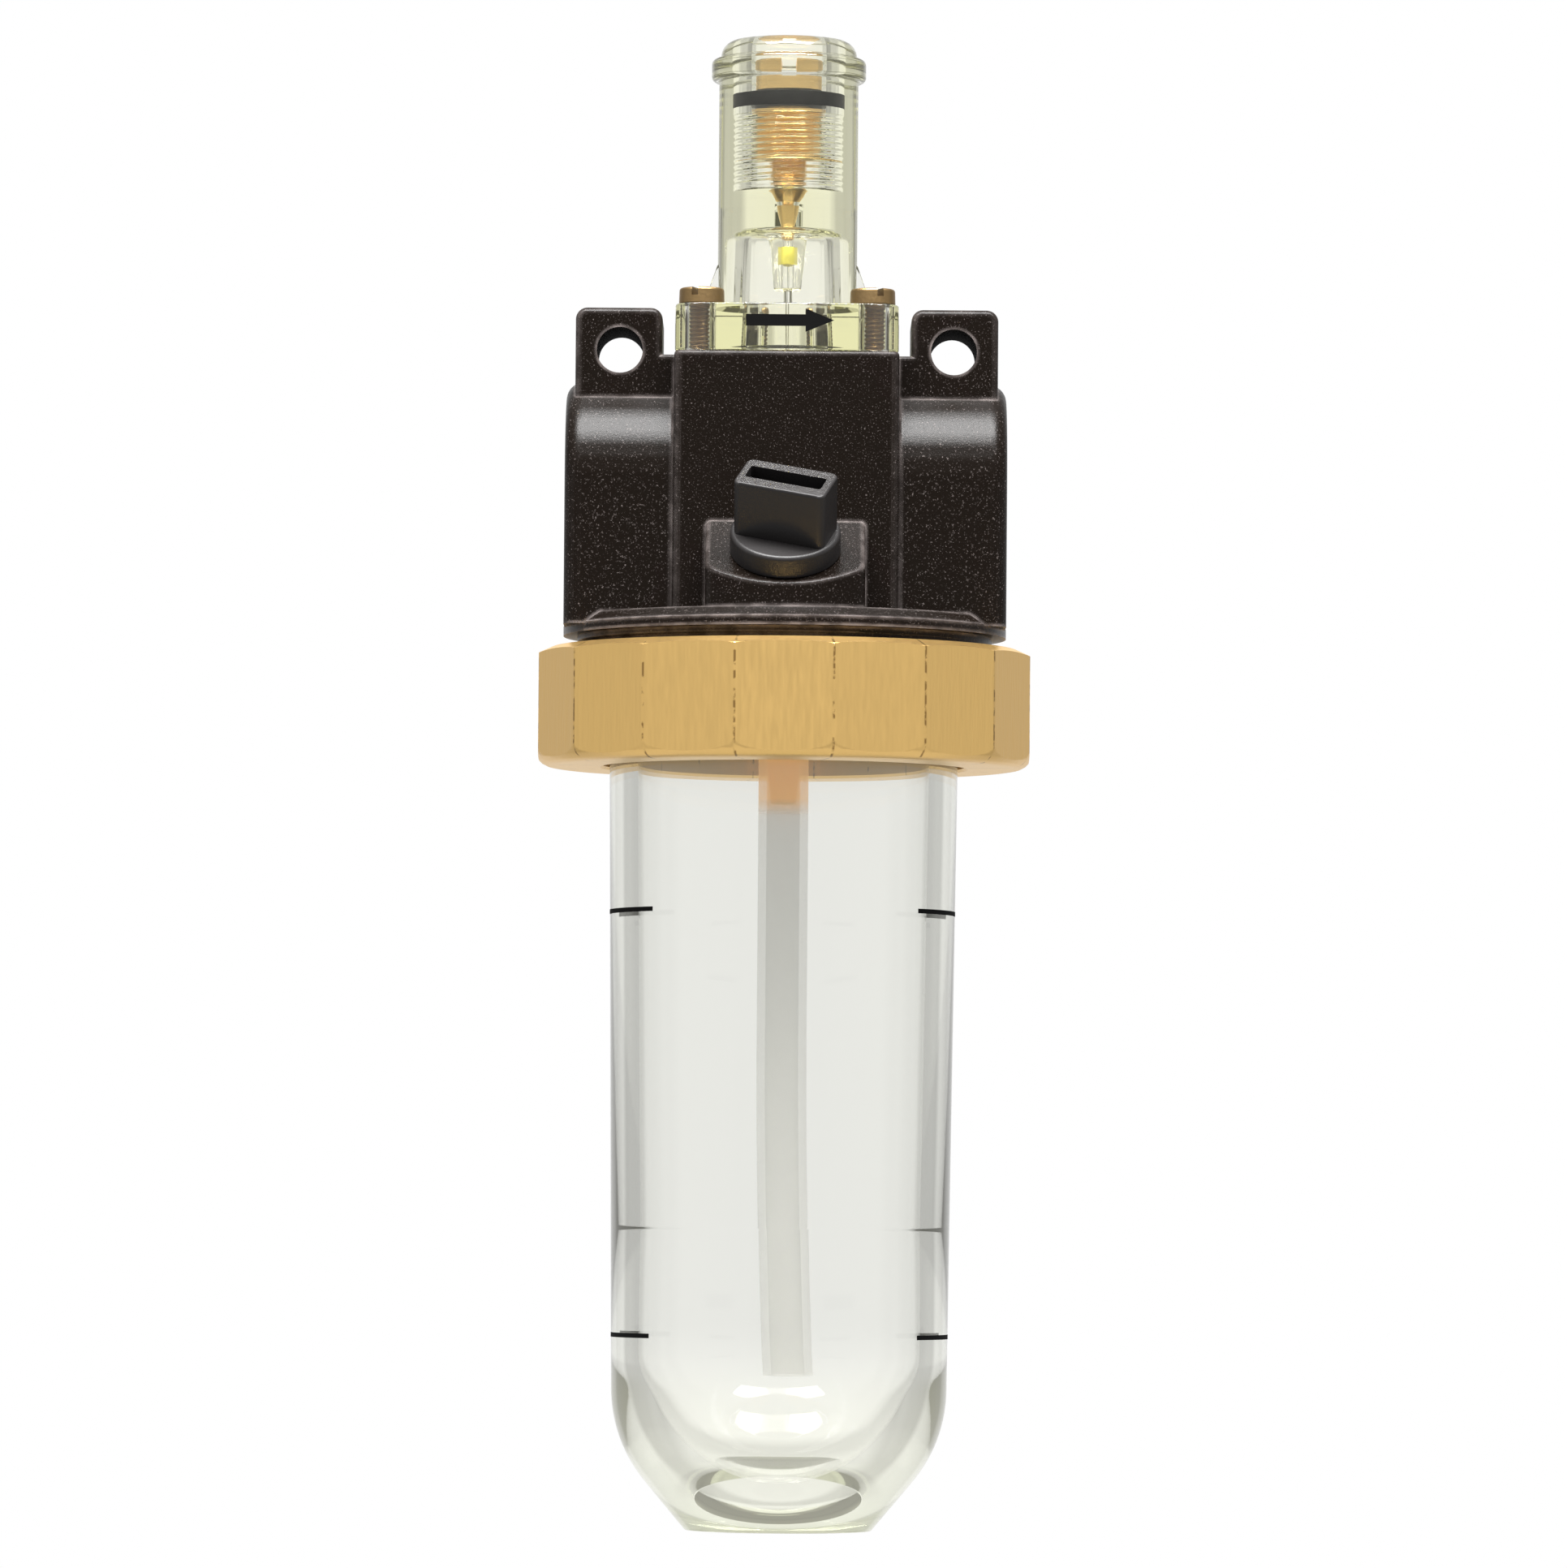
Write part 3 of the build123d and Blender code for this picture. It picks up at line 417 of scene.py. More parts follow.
def shaped(obj, operation, *tools):
    """The piece joined with, cut by or kept inside other shapes, which are used up."""
    for tool in tools:
        step = obj.modifiers.new("shape", "BOOLEAN")
        step.operation = operation
        step.solver = "MANIFOLD"
        step.object = tool
        with_step_applied(obj)
        bpy.data.objects.remove(tool)
    return obj


def bevelled(obj, width, angle=30.0, segments=2):
    """The piece with its sharp edges eased."""
    step = obj.modifiers.new("eased edges", "BEVEL")
    step.width = width
    step.segments = segments
    step.limit_method = "ANGLE"
    step.angle_limit = radians(angle)
    step.harden_normals = False
    return with_step_applied(obj)


def cad_copy(node, name):
    """Piece with the shape of a CAD node, its split edges joined again."""
    shape = bmesh.new()
    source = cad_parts[node]
    shape.from_mesh(source.data)
    shape.transform(Matrix.Scale(1 / MM, 4) @ source.matrix_world)
    bmesh.ops.remove_doubles(shape, verts=shape.verts, dist=0.0005)
    bmesh.ops.dissolve_degenerate(shape, edges=shape.edges, dist=0.0002)
    return new_object(name, shape)


def flat_areas(shape):
    """Area of the flat stretch that each face of a bmesh belongs to."""
    areas = [0.0] * len(shape.faces)
    seen = set()
    for first in shape.faces:
        if first.index in seen:
            continue
        seen.add(first.index)
        stretch, waiting = [], [first]
        while waiting:
            face = waiting.pop()
            stretch.append(face)
            for edge in face.edges:
                for other in edge.link_faces:
                    if other.index not in seen and other.normal.dot(first.normal) > FLAT_LIMIT:
                        seen.add(other.index)
                        waiting.append(other)
        area = sum(face.calc_area() for face in stretch)
        for face in stretch:
            areas[face.index] = area
    return areas


def even_normals(obj, sharp):
    """Shades flat stretches flat up to their rounded edges, and curved ones smooth."""
    shape = bmesh.new()
    shape.from_mesh(obj.data)
    shape.faces.index_update()
    areas = flat_areas(shape)
    limit = cos(radians(sharp))
    normals = []
    for face in shape.faces:
        for corner in face.loops:
            near = [f for f in corner.vert.link_faces if f.normal.dot(face.normal) > limit] or [face]
            largest = max(near, key=lambda f: areas[f.index])
            if areas[largest.index] > FLAT_AREA:
                normals.append(largest.normal.copy())
            else:
                normals.append(sum((f.normal * f.calc_area() for f in near), Vector()).normalized())
    obj.data.normals_split_custom_set(normals)
    shape.free()


def place(obj, body, slot, material, *nodes, sharp=35.0, flats=False):
    """Sets a finished piece in the frame, on a CAD body, in place of CAD nodes."""
    obj.data.shade_smooth()
    obj.data.set_sharp_from_angle(angle=radians(sharp))
    if flats:
        even_normals(obj, sharp)
    obj.data.transform(Matrix.Scale(MM, 4))
    obj.data.materials.clear()
    obj.data.materials.append(material)
    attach(obj, body)
    if nodes:
        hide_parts(*nodes)
    return obj


# Materials

EDGE_HIGHLIGHT_W = 0.7  # painted highlight on each side of an edge
EDGE_HIGHLIGHT_TURN = (0.995, 0.9)  # cosine of an edge's turn at which the painted highlight begins and is full
EDGE_HIGHLIGHT_PATCHES = 450.0  # patches of the painted highlight in a metre, and the levels of noise that they lie between
EDGE_HIGHLIGHT_LEVELS = (0.4, 0.6)
EDGE_HIGHLIGHT_LEAST = 0.4  # painted highlight left between the patches
FLECK_TOP = 0.75  # level of noise that flecks begin below, and how softly they end
FLECK_FADE = 0.18
CORNER_REFLECTION_EDGE = (0.055, 0.02)  # distance from the nut's corner at which its painted dark reflection begins and is full
CORNER_REFLECTION_PATCHES = 900.0
CORNER_REFLECTION_LEVELS = (0.46, 0.56)
# Painted glow of the clear plastic: its colour, its colour in the bowl's foot, and its strength in the bowl
# and in the foot
PAINTED_GLOW_COLOUR = (1.0, 0.98, 0.88)
FOOT_GLOW_COLOUR = (1.0, 0.98, 0.86, 1.0)
BOWL_PAINTED_GLOW, FOOT_PAINTED_GLOW = 0.019, 0.1
FOOT_GLOW_H = 24.0  # the foot's painted glow has faded out at this height above it
TUBE_ALPHA, BARB_ALPHA = 0.26, 0.5
TUBE_PAINTED_GLOW = 0.3  # painted glow, standing in for light that the tube carries


def linear(red, green, blue):
    """Scene colour from screen values of 0 to 255."""
    parts = [value / 255 for value in (red, green, blue)]
    return tuple(p / 12.92 if p <= 0.04045 else ((p + 0.055) / 1.055) ** 2.4 for p in parts) + (1.0,)


def new_group(name, inputs, outputs):
    """Empty node group whose inputs and outputs are numbers; returns it with its first and last node."""
    group = bpy.data.node_groups.new(name, "ShaderNodeTree")
    for label, value in inputs.items():
        socket = group.interface.new_socket(label, in_out="INPUT", socket_type="NodeSocketFloat")
        socket.default_value = value
    for label in outputs:
        group.interface.new_socket(label, in_out="OUTPUT", socket_type="NodeSocketFloat")
    return group, group.nodes.new("NodeGroupInput"), group.nodes.new("NodeGroupOutput")


def feed(tree, value, socket):
    """Links an input to another socket, or sets it to a plain value."""
    if isinstance(value, bpy.types.NodeSocket):
        tree.links.new(value, socket)
    else:
        socket.default_value = value


def new_node(tree, kind, **values):
    """New node with its inputs fed."""
    node = tree.nodes.new(kind)
    for label, value in values.items():
        feed(tree, value, node.inputs[label.replace("_", " ")])
    return node


NUMBERS, VECTORS = "ShaderNodeMath", "ShaderNodeVectorMath"


def arithmetic(tree, operation, *values, kind=NUMBERS, output="Value"):
    """Math node on sockets or plain numbers; returns its result."""
    node = tree.nodes.new(kind)
    node.operation = operation
    for value, socket in zip(values, node.inputs):
        feed(tree, value, socket)
    return node.outputs[output]


def graded(tree, value, low, high, to_low=0.0, to_high=1.0):
    """Value that goes from one level to another while the given one goes from low to high."""
    limits = {"From_Min": low, "From_Max": high, "To_Min": to_low, "To_Max": to_high}
    return new_node(tree, "ShaderNodeMapRange", Value=value, **limits).outputs["Result"]


def noise(tree, scale, detail=2.0, roughness=0.5, at=None):
    """Cloudy noise over the object, or over another place that is given."""
    if at is None:
        at = tree.nodes.new("ShaderNodeTexCoord").outputs["Object"]
    values = {"Scale": scale, "Detail": detail, "Roughness": roughness}
    return new_node(tree, "ShaderNodeTexNoise", Vector=at, **values).outputs["Fac"]


def axes(tree, space="Object"):
    """X, Y and Z of the place on the object, in metres, or of a direction."""
    place_at = tree.nodes.new("ShaderNodeTexCoord").outputs[space]
    return new_node(tree, "ShaderNodeSeparateXYZ", Vector=place_at).outputs


def fine_grain_group():
    """Fine surface grain: a height and a slight change of roughness. Size is in millimetres."""
    inputs = {"Size": 0.5, "Stretch": 1.0, "Roughness": 0.4, "Spread": 0.1}
    group, start, end = new_group("fine grain", inputs, ["Height", "Roughness"])
    place_at = group.nodes.new("ShaderNodeTexCoord").outputs["Object"]
    squeeze = new_node(group, "ShaderNodeCombineXYZ", X=1.0, Y=1.0, Z=start.outputs["Stretch"])
    squeeze = squeeze.outputs["Vector"]
    stretched = arithmetic(group, "MULTIPLY", place_at, squeeze, kind=VECTORS, output="Vector")
    grain = noise(group, arithmetic(group, "DIVIDE", 1 / MM, start.outputs["Size"]), at=stretched)
    centred = arithmetic(group, "SUBTRACT", grain, 0.5)
    spread, roughness = start.outputs["Spread"], start.outputs["Roughness"]
    feed(group, grain, end.inputs["Height"])
    feed(group, arithmetic(group, "MULTIPLY_ADD", centred, spread, roughness), end.inputs["Roughness"])
    return group


def edge_highlight_group():
    """Mask of a painted highlight along the edges, broken up in patches."""
    group, start, end = new_group("painted edge highlight", {"Strength": 1.0}, ["Mask"])
    bevel = new_node(group, "ShaderNodeBevel", Radius=EDGE_HIGHLIGHT_W * MM)
    bevel.samples = 4
    surface = group.nodes.new("ShaderNodeNewGeometry")
    across = arithmetic(
        group, "DOT_PRODUCT", bevel.outputs["Normal"], surface.outputs["Normal"], kind=VECTORS)
    edge = graded(group, across, *EDGE_HIGHLIGHT_TURN)
    uneven = graded(group, noise(group, EDGE_HIGHLIGHT_PATCHES), *EDGE_HIGHLIGHT_LEVELS, EDGE_HIGHLIGHT_LEAST)
    both = arithmetic(group, "MULTIPLY", edge, uneven)
    scaled = arithmetic(group, "MULTIPLY", both, start.outputs["Strength"])
    scaled.node.use_clamp = True
    feed(group, scaled, end.inputs["Mask"])
    return group


def fleck_group():
    """Light flecks of a hammered paint: their mask and a height. Size is in millimetres."""
    group, start, end = new_group("paint flecks", {"Size": 0.4, "Share": 0.3}, ["Mask", "Height"])
    grain = noise(group, arithmetic(group, "DIVIDE", 1 / MM, start.outputs["Size"]), 3.0, 0.65)
    low = arithmetic(group, "SUBTRACT", FLECK_TOP, start.outputs["Share"])
    high = arithmetic(group, "ADD", low, FLECK_FADE)
    feed(group, graded(group, grain, low, high), end.inputs["Mask"])
    feed(group, grain, end.inputs["Height"])
    return group


def ear_holes_group():
    """Roughness of the body: one value all over and another inside the holes of the ears."""
    group, start, end = new_group("ear holes", {"Outside": 0.3, "Inside": 1.0}, ["Roughness"])
    x, _, z = axes(group)
    side = arithmetic(group, "SUBTRACT", arithmetic(group, "ABSOLUTE", x), EAR_HOLE_AT * MM)
    reach = arithmetic(
        group, "ADD", arithmetic(group, "MULTIPLY", side, side), arithmetic(group, "MULTIPLY", z, z))
    inside = arithmetic(group, "LESS_THAN", reach, ((EAR_HOLE_R + GAP) * MM) ** 2)
    rise = arithmetic(group, "SUBTRACT", start.outputs["Inside"], start.outputs["Outside"])
    value = arithmetic(group, "MULTIPLY_ADD", inside, rise, start.outputs["Outside"])
    feed(group, value, end.inputs["Roughness"])
    return group


def corner_reflection_group():
    """Mask of painted dark reflections in short broken lines along the upright corners of the nut."""
    group, start, end = new_group("painted corner reflections", {"Strength": 1.0}, ["Mask"])
    x, y, _ = axes(group)
    angle = arithmetic(group, "ARCTAN2", y, x)
    wave = arithmetic(group, "COSINE", arithmetic(group, "MULTIPLY", angle, NUT_SIDES / 2))
    line = graded(group, arithmetic(group, "ABSOLUTE", wave), *CORNER_REFLECTION_EDGE)
    broken = graded(group, noise(group, CORNER_REFLECTION_PATCHES, 4.0), *CORNER_REFLECTION_LEVELS)
    both = arithmetic(group, "MULTIPLY", line, broken)
    feed(group, arithmetic(group, "MULTIPLY", both, start.outputs["Strength"]), end.inputs["Mask"])
    return group


EAR_HOLES = ear_holes_group()
CORNER_REFLECTIONS = corner_reflection_group()
FINE_GRAIN = fine_grain_group()
PAINTED_EDGE_HIGHLIGHT = edge_highlight_group()
FLECKS = fleck_group()


def new_material(name, colour, **values):
    """Material with its principled shader set; returns it with its tree and the shader."""
    material = bpy.data.materials.new(name)
    material.use_nodes = True
    tree = material.node_tree
    shader = tree.nodes["Principled BSDF"]
    for label, value in dict(values, Base_Color=colour).items():
        shader.inputs[label.replace("_", " ")].default_value = value
    return material, tree, shader


def add_group(tree, group, **values):
    """Instance of a node group with its inputs set; returns its outputs."""
    node = tree.nodes.new("ShaderNodeGroup")
    node.node_tree = group
    for label, value in values.items():
        node.inputs[label].default_value = value
    return node.outputs


def relief(tree, shader, height, strength, depth):
    """Gives a shader the relief of a height. Depth is in millimetres."""
    bump = new_node(tree, "ShaderNodeBump", Height=height, Strength=strength, Distance=depth * MM)
    feed(tree, bump.outputs["Normal"], shader.inputs["Normal"])


def grained(tree, shader, size, strength, roughness, spread=0.1, stretch=1.0):
    """Gives a shader fine grain in its height and roughness."""
    grain = add_group(tree, FINE_GRAIN, Size=size, Stretch=stretch, Roughness=roughness, Spread=spread)
    relief(tree, shader, grain["Height"], strength, 0.1)
    feed(tree, grain["Roughness"], shader.inputs["Roughness"])


def two_colours(tree, shader, mask, low, high, socket="Base Color"):
    """Colour that goes from one to the other with a mask."""
    mix = tree.nodes.new("ShaderNodeMix")
    mix.data_type = "RGBA"
    mix.inputs["A"].default_value = low
    mix.inputs["B"].default_value = high
    tree.links.new(mask, mix.inputs["Factor"])
    tree.links.new(mix.outputs["Result"], shader.inputs[socket])


def enamel():
    """Very dark brown hammered enamel with light flecks, a painted highlight along its edges and rough
    holes in the ears.
    """
    # The light colour serves both the flecks and the painted edge highlight
    dark, light = linear(11, 6, 3), linear(146, 136, 133)
    material, tree, shader = new_material("body_enamel", dark, Specular_IOR_Level=0.12)
    flecks = add_group(tree, FLECKS, Size=0.22, Share=0.15)
    # Painted highlight along the rounded edges
    edge = add_group(tree, PAINTED_EDGE_HIGHLIGHT, Strength=0.5)
    faint = arithmetic(tree, "MULTIPLY", flecks["Mask"], 0.5)
    two_colours(tree, shader, arithmetic(tree, "MAXIMUM", faint, edge["Mask"]), dark, light)
    rough = add_group(tree, EAR_HOLES, Outside=0.32, Inside=1.0)
    feed(tree, rough["Roughness"], shader.inputs["Roughness"])
    relief(tree, shader, flecks["Height"], 0.5, 0.05)
    return material


def brass(name, colour, **grain):
    """Machined metal with grain along its tool marks."""
    material, tree, shader = new_material(name, colour, Metallic=1.0)
    grained(tree, shader, spread=0.12, **grain)
    return material


def nut_brass():
    """Satin brass with faint upright tool marks and broken painted dark reflections along its corners."""
    light, dark = linear(246, 204, 128), linear(120, 84, 44)
    material, tree, shader = new_material("nut_brass", light, Metallic=1.0)
    grained(tree, shader, size=0.45, strength=0.3, roughness=0.34, stretch=0.12)
    # Painted dark reflections along the corners
    marks = add_group(tree, CORNER_REFLECTIONS, Strength=0.75)
    two_colours(tree, shader, marks["Mask"], light, dark)
    return material


def clear_plastic(name, refraction, roughness, tint, density, painted_glow):
    """Clear moulded plastic, with its tint inside the wall and a little painted glow that stands in for
    light caught in it.
    """
    material, tree, _ = new_material(
        name, (1.0, 1.0, 1.0, 1.0), Roughness=roughness, IOR=refraction, Transmission_Weight=1.0,
        Emission_Color=(*PAINTED_GLOW_COLOUR, 1.0), Emission_Strength=painted_glow)
    inside = new_node(tree, "ShaderNodeVolumeAbsorption", Color=tint, Density=density)
    tree.links.new(inside.outputs["Volume"], tree.nodes["Material Output"].inputs["Volume"])
    return material


def painted_glow_in_foot(material):
    """Painted glow that stands in for light gathering in the thick foot of the bowl, fading out above it.
    """
    tree = material.node_tree
    _, _, z = axes(tree)
    fade = graded(tree, z, BOWL_FOOT * MM, (BOWL_FOOT + FOOT_GLOW_H) * MM)
    above = tuple(BOWL_PAINTED_GLOW / FOOT_PAINTED_GLOW * part for part in PAINTED_GLOW_COLOUR) + (1.0,)
    two_colours(tree, tree.nodes["Principled BSDF"], fade, FOOT_GLOW_COLOUR, above, "Emission Color")


def matt(name, colour, size, strength, roughness, **values):
    """Plain moulded or rubber surface with fine grain."""
    material, tree, shader = new_material(name, colour, **values)
    grained(tree, shader, size, strength, roughness)
    return material


def milky_tube():
    """Milky see-through nylon of the pick-up tube with a painted glow, brass-coloured where it hugs the
    barb.
    """
    nylon, glow, barb = linear(226, 225, 220), linear(124, 124, 120), linear(246, 200, 132)
    material, tree, shader = new_material("tube_nylon", nylon, Emission_Strength=TUBE_PAINTED_GLOW)
    grained(tree, shader, 0.6, 0.05, 0.4)
    _, _, z = axes(tree)
    barb_tip = FITTING_HEX_LOW - BARB_L
    hugs = graded(tree, z, (barb_tip - 1.5) * MM, (barb_tip + 0.5) * MM)
    alpha = arithmetic(tree, "MULTIPLY_ADD", hugs, BARB_ALPHA - TUBE_ALPHA, TUBE_ALPHA)
    feed(tree, alpha, shader.inputs["Alpha"])
    two_colours(tree, shader, hugs, nylon, barb)
    two_colours(tree, shader, hugs, glow, barb, "Emission Color")
    return material


ENAMEL = enamel()
NUT_BRASS = nut_brass()
NEEDLE_BRASS = brass(
    "needle_brass", linear(240, 206, 146), size=0.3, strength=0.15, roughness=0.25, stretch=6.0)
FITTING_BRASS = brass(
    "fitting_brass", linear(240, 198, 124), size=0.4, strength=0.2, roughness=0.4, stretch=5.0)
SCREW_BRASS = brass("screw_brass", linear(140, 116, 80), size=0.35, strength=0.25, roughness=0.4)
STEEL = brass("ball_steel", linear(205, 206, 208), size=0.4, strength=0.05, roughness=0.15)
# Both clear plastics carry a painted glow
DOME_CLEAR = clear_plastic(
    "dome_clear", refraction=1.5, roughness=0.02, tint=(0.96, 0.95, 0.6, 1.0), density=62.0, painted_glow=0.016)
BOWL_CLEAR = clear_plastic(
    "bowl_clear", refraction=1.58, roughness=0.01, tint=(0.93, 0.935, 0.9, 1.0), density=200.0,
    painted_glow=FOOT_PAINTED_GLOW)
painted_glow_in_foot(BOWL_CLEAR)
RUBBER = matt(
    "seal_rubber", linear(12, 12, 13), size=0.3, strength=0.1, roughness=0.5, Specular_IOR_Level=0.2)
PLUG_BLACK = matt(
    "plug_plastic", linear(32, 30, 30), size=0.35, strength=0.15, roughness=0.42, Specular_IOR_Level=0.3)
SLIP_WHITE = matt("slip_plastic", linear(222, 220, 212), size=0.5, strength=0.05, roughness=0.5)
JET_YELLOW = matt("jet_plastic", linear(252, 240, 96), size=0.3, strength=0.05, roughness=0.35)
INK = matt(
    "printed_black", linear(4, 4, 4), size=0.2, strength=0.05, roughness=0.8, Specular_IOR_Level=0.08)
TUBE_MILKY = milky_tube()


# Pieces of the body

def port_thread(side):
    """Cutter for the pipe thread in one port."""
    low, root = -PORT_DEPTH + 0.5, PORT_R + PORT_THREAD
    outline = [(0, low), (PORT_R - 0.3, low)]
    outline += threaded(root, low + 0.3, -0.4, PORT_PITCH, PORT_THREAD + 0.1)
    outline += [(root, OVERCUT), (0, OVERCUT)]
    cutter = turned("port_thread", outline, COARSE)
    face = Matrix.Translation((side * PORT_SPAN / 2, 0, PORT_Z))
    return moved(cutter, face @ Matrix.Rotation(side * pi / 2, 4, "Y"))


def neck_thread():
    """Cutter for the outside thread of the neck."""
    low, high, outer = NECK_END - 0.6, NECK_TOP - 0.5, NECK_R + 2
    inner = threaded(NECK_R + 0.1, low, high, NECK_PITCH, NECK_THREAD + 0.1)
    outline = [(outer, low), *inner, (outer, high)]
    return turned("neck_thread", outline, FINE)


def make_body():
    """Cast body with its real threads in the ports and round the neck."""
    obj = cad_copy("body", "cast_body")
    shaped(obj, "DIFFERENCE", port_thread(-1), port_thread(1), neck_thread())
    return place(obj, "housing", "body_enamel", ENAMEL, "body", flats=True)


# Sight dome and what is in it

def needle_hole_radius(height):
    """Radius of the dome's needle hole at a height above the block top."""
    slope = (NEEDLE_R - NEEDLE_TIP_R) / (NEEDLE_SHANK_H - NEEDLE_TIP_H)
    return NEEDLE_TIP_R + slope * (height - NEEDLE_TIP_H) - SQUEEZE


def dome_form():
    """Outer form of the dome, from the flange to the rounded cap."""
    plan = rounded_rectangle(DOME_FLANGE_W, DOME_FLANGE_W, DOME_CORNER_R)
    flange = bevelled(prism("clear_sight_dome", plan, DOME_LIFT, DOME_FLANGE_T), DOME_EDGE_R, 60.0, 3)
    outline = rounded([
        (0, 1.0), (DOME_R + 0.6, 1.0), (DOME_R + 0.6, DOME_FLANGE_T - 0.05),
        (DOME_R, DOME_FLANGE_T + 0.5), (DOME_R, DOME_COLLAR_LOW, 0.2),
        (DOME_COLLAR_R, DOME_COLLAR_LOW, 0.6),
        (DOME_COLLAR_R, DOME_COLLAR_TOP, 0.6), (DOME_CAP_R, DOME_COLLAR_TOP, 0.2),
        (DOME_CAP_R, DOME_H, DOME_CAP_ROUND_R), (0, DOME_H),
    ])
    form = shaped(flange, "UNION", turned("barrel", outline, FINE))
    for side in (-1, 1):
        corners = [(0, RIB_LOW_H), (side * RIB_REACH, RIB_LOW_H), (side * RIB_REACH, DOME_FLANGE_T),
                   (side * DOME_R, RIB_TOP_H), (0, RIB_TOP_H)]
        rib = extruded("rib", [(x, -RIB_T / 2, z) for x, z in corners], (0, RIB_T, 0))
        shaped(form, "UNION", bevelled(rib, RIB_EDGE))
    return form


def dome_hollow():
    """Cutter for the drip chamber, needle hole and screw well of the dome."""
    outline = rounded([
        (0, WELL_H + 1), (0, DOME_H + OVERCUT), (WELL_R + 0.9, DOME_H + OVERCUT),
        (WELL_R + 0.4, DOME_H, 0.2), (WELL_R, DOME_H - 0.4), (WELL_R, WELL_WIDE_H),
    ])
    outline += threaded(WELL_THREAD_R, WELL_WIDE_H - 0.05, WELL_H + 0.4, SCREW_PITCH, WELL_THREAD)
    outline += rounded([
        (WELL_THREAD_R, WELL_H + 0.35), (WELL_THREAD_R, WELL_H, SOFT_EDGE),
        (needle_hole_radius(WELL_H), WELL_H, SMALL_EDGE), (needle_hole_radius(JET_TOP_H), JET_TOP_H),
        (JET_R - SQUEEZE, JET_TOP_H), (JET_R - SQUEEZE, NOZZLE_END_H), (NOZZLE_R_LOW, NOZZLE_END_H, 0.25),
        (NOZZLE_R_TOP, BELL_H, 0.5), (BELL_R_TOP, BELL_H, BELL_ROUND_R), (BELL_R_LOW, 0),
        (BELL_R_LOW, -OVERCUT), (0, -OVERCUT), (0, WELL_H + 1),
    ])[:-1]
    return turned("hollow", outline, FINE)


def make_dome():
    """Clear sight dome with its drip chamber, nozzle, threaded well and oil way."""
    form = dome_form()
    shaped(form, "DIFFERENCE", dome_hollow())
    seat = turned("gasket_seat", [
        (GASKET_R_IN, -1), (GASKET_R_OUT, -1), (GASKET_R_OUT, GASKET_T), (GASKET_R_IN, GASKET_T)], MEDIUM)
    riser = rod("riser_seat", RISER_RING_R, (0, RISER_Y, -1), (0, RISER_Y, RISER_RING_T))
    slant = rod("slant_way", WAY_R, (0, RISER_Y, 0), (0, WAY_Y, WAY_TURN_H), TINY)
    low, high = (0, WAY_Y, WAY_TURN_H - 0.3), (0, WAY_Y, WAY_TOP_H + WAY_R)
    upright = rod("upright_way", WAY_R, low, high, TINY)
    crossing = rod("crossing_way", WAY_R, (0, WAY_Y, WAY_TOP_H), (0, 0, WAY_TOP_H), TINY)
    shaped(form, "DIFFERENCE", seat, riser, slant, upright, crossing)
    for x in (-DOME_SCREW_AT, DOME_SCREW_AT):
        for y in (-DOME_SCREW_AT, DOME_SCREW_AT):
            hole = rod("screw_hole", DOME_SCREW_HOLE_R, (x, y, -1), (x, y, DOME_FLANGE_T + 1))
            shaped(form, "DIFFERENCE", hole)
    return place(moved(form, ON_BLOCK), "housing", "dome_clear", DOME_CLEAR, "sight_dome", flats=True)


def flat_ring(name, radius, bore, low, high, sides=MEDIUM, ease=None):
    """Ring with eased edges, nearly round unless their radius is given."""
    if ease is None:
        ease = 0.45 * min(high - low, radius - bore)
    corners = ((bore, low), (radius, low), (radius, high), (bore, high))
    return turned(name, rounded([(*corner, ease) for corner in corners]), sides)


def make_dome_seals():
    """Rings under the dome's flange."""
    gasket = flat_ring("dome_gasket_ring", GASKET_R_OUT - GAP, GASKET_R_IN + GAP, GAP, GASKET_T - GAP)
    place(moved(gasket, ON_BLOCK), "housing", "seal_rubber", RUBBER, "dome_gasket")
    small = flat_ring("riser_ring", RISER_RING_R - GAP, WAY_R + GAP, GAP, RISER_RING_T - GAP, SMALL)
    up = Matrix.Translation((0, RISER_Y, BLOCK_TOP))
    place(moved(small, up), "housing", "seal_rubber", RUBBER, "riser_seal")


def make_jet():
    """Yellow jet in the end of the nozzle."""
    top = JET_TOP_H - GAP
    outline = rounded([
        (JET_BORE_R, JET_H, 0.05), (JET_R, JET_H, THIN_EDGE), (JET_R, top), (JET_BORE_R, top)])
    obj = moved(turned("drip_jet_tip", outline, SMALL), ON_BLOCK)
    place(obj, "housing", "jet_plastic", JET_YELLOW, "drip_jet")


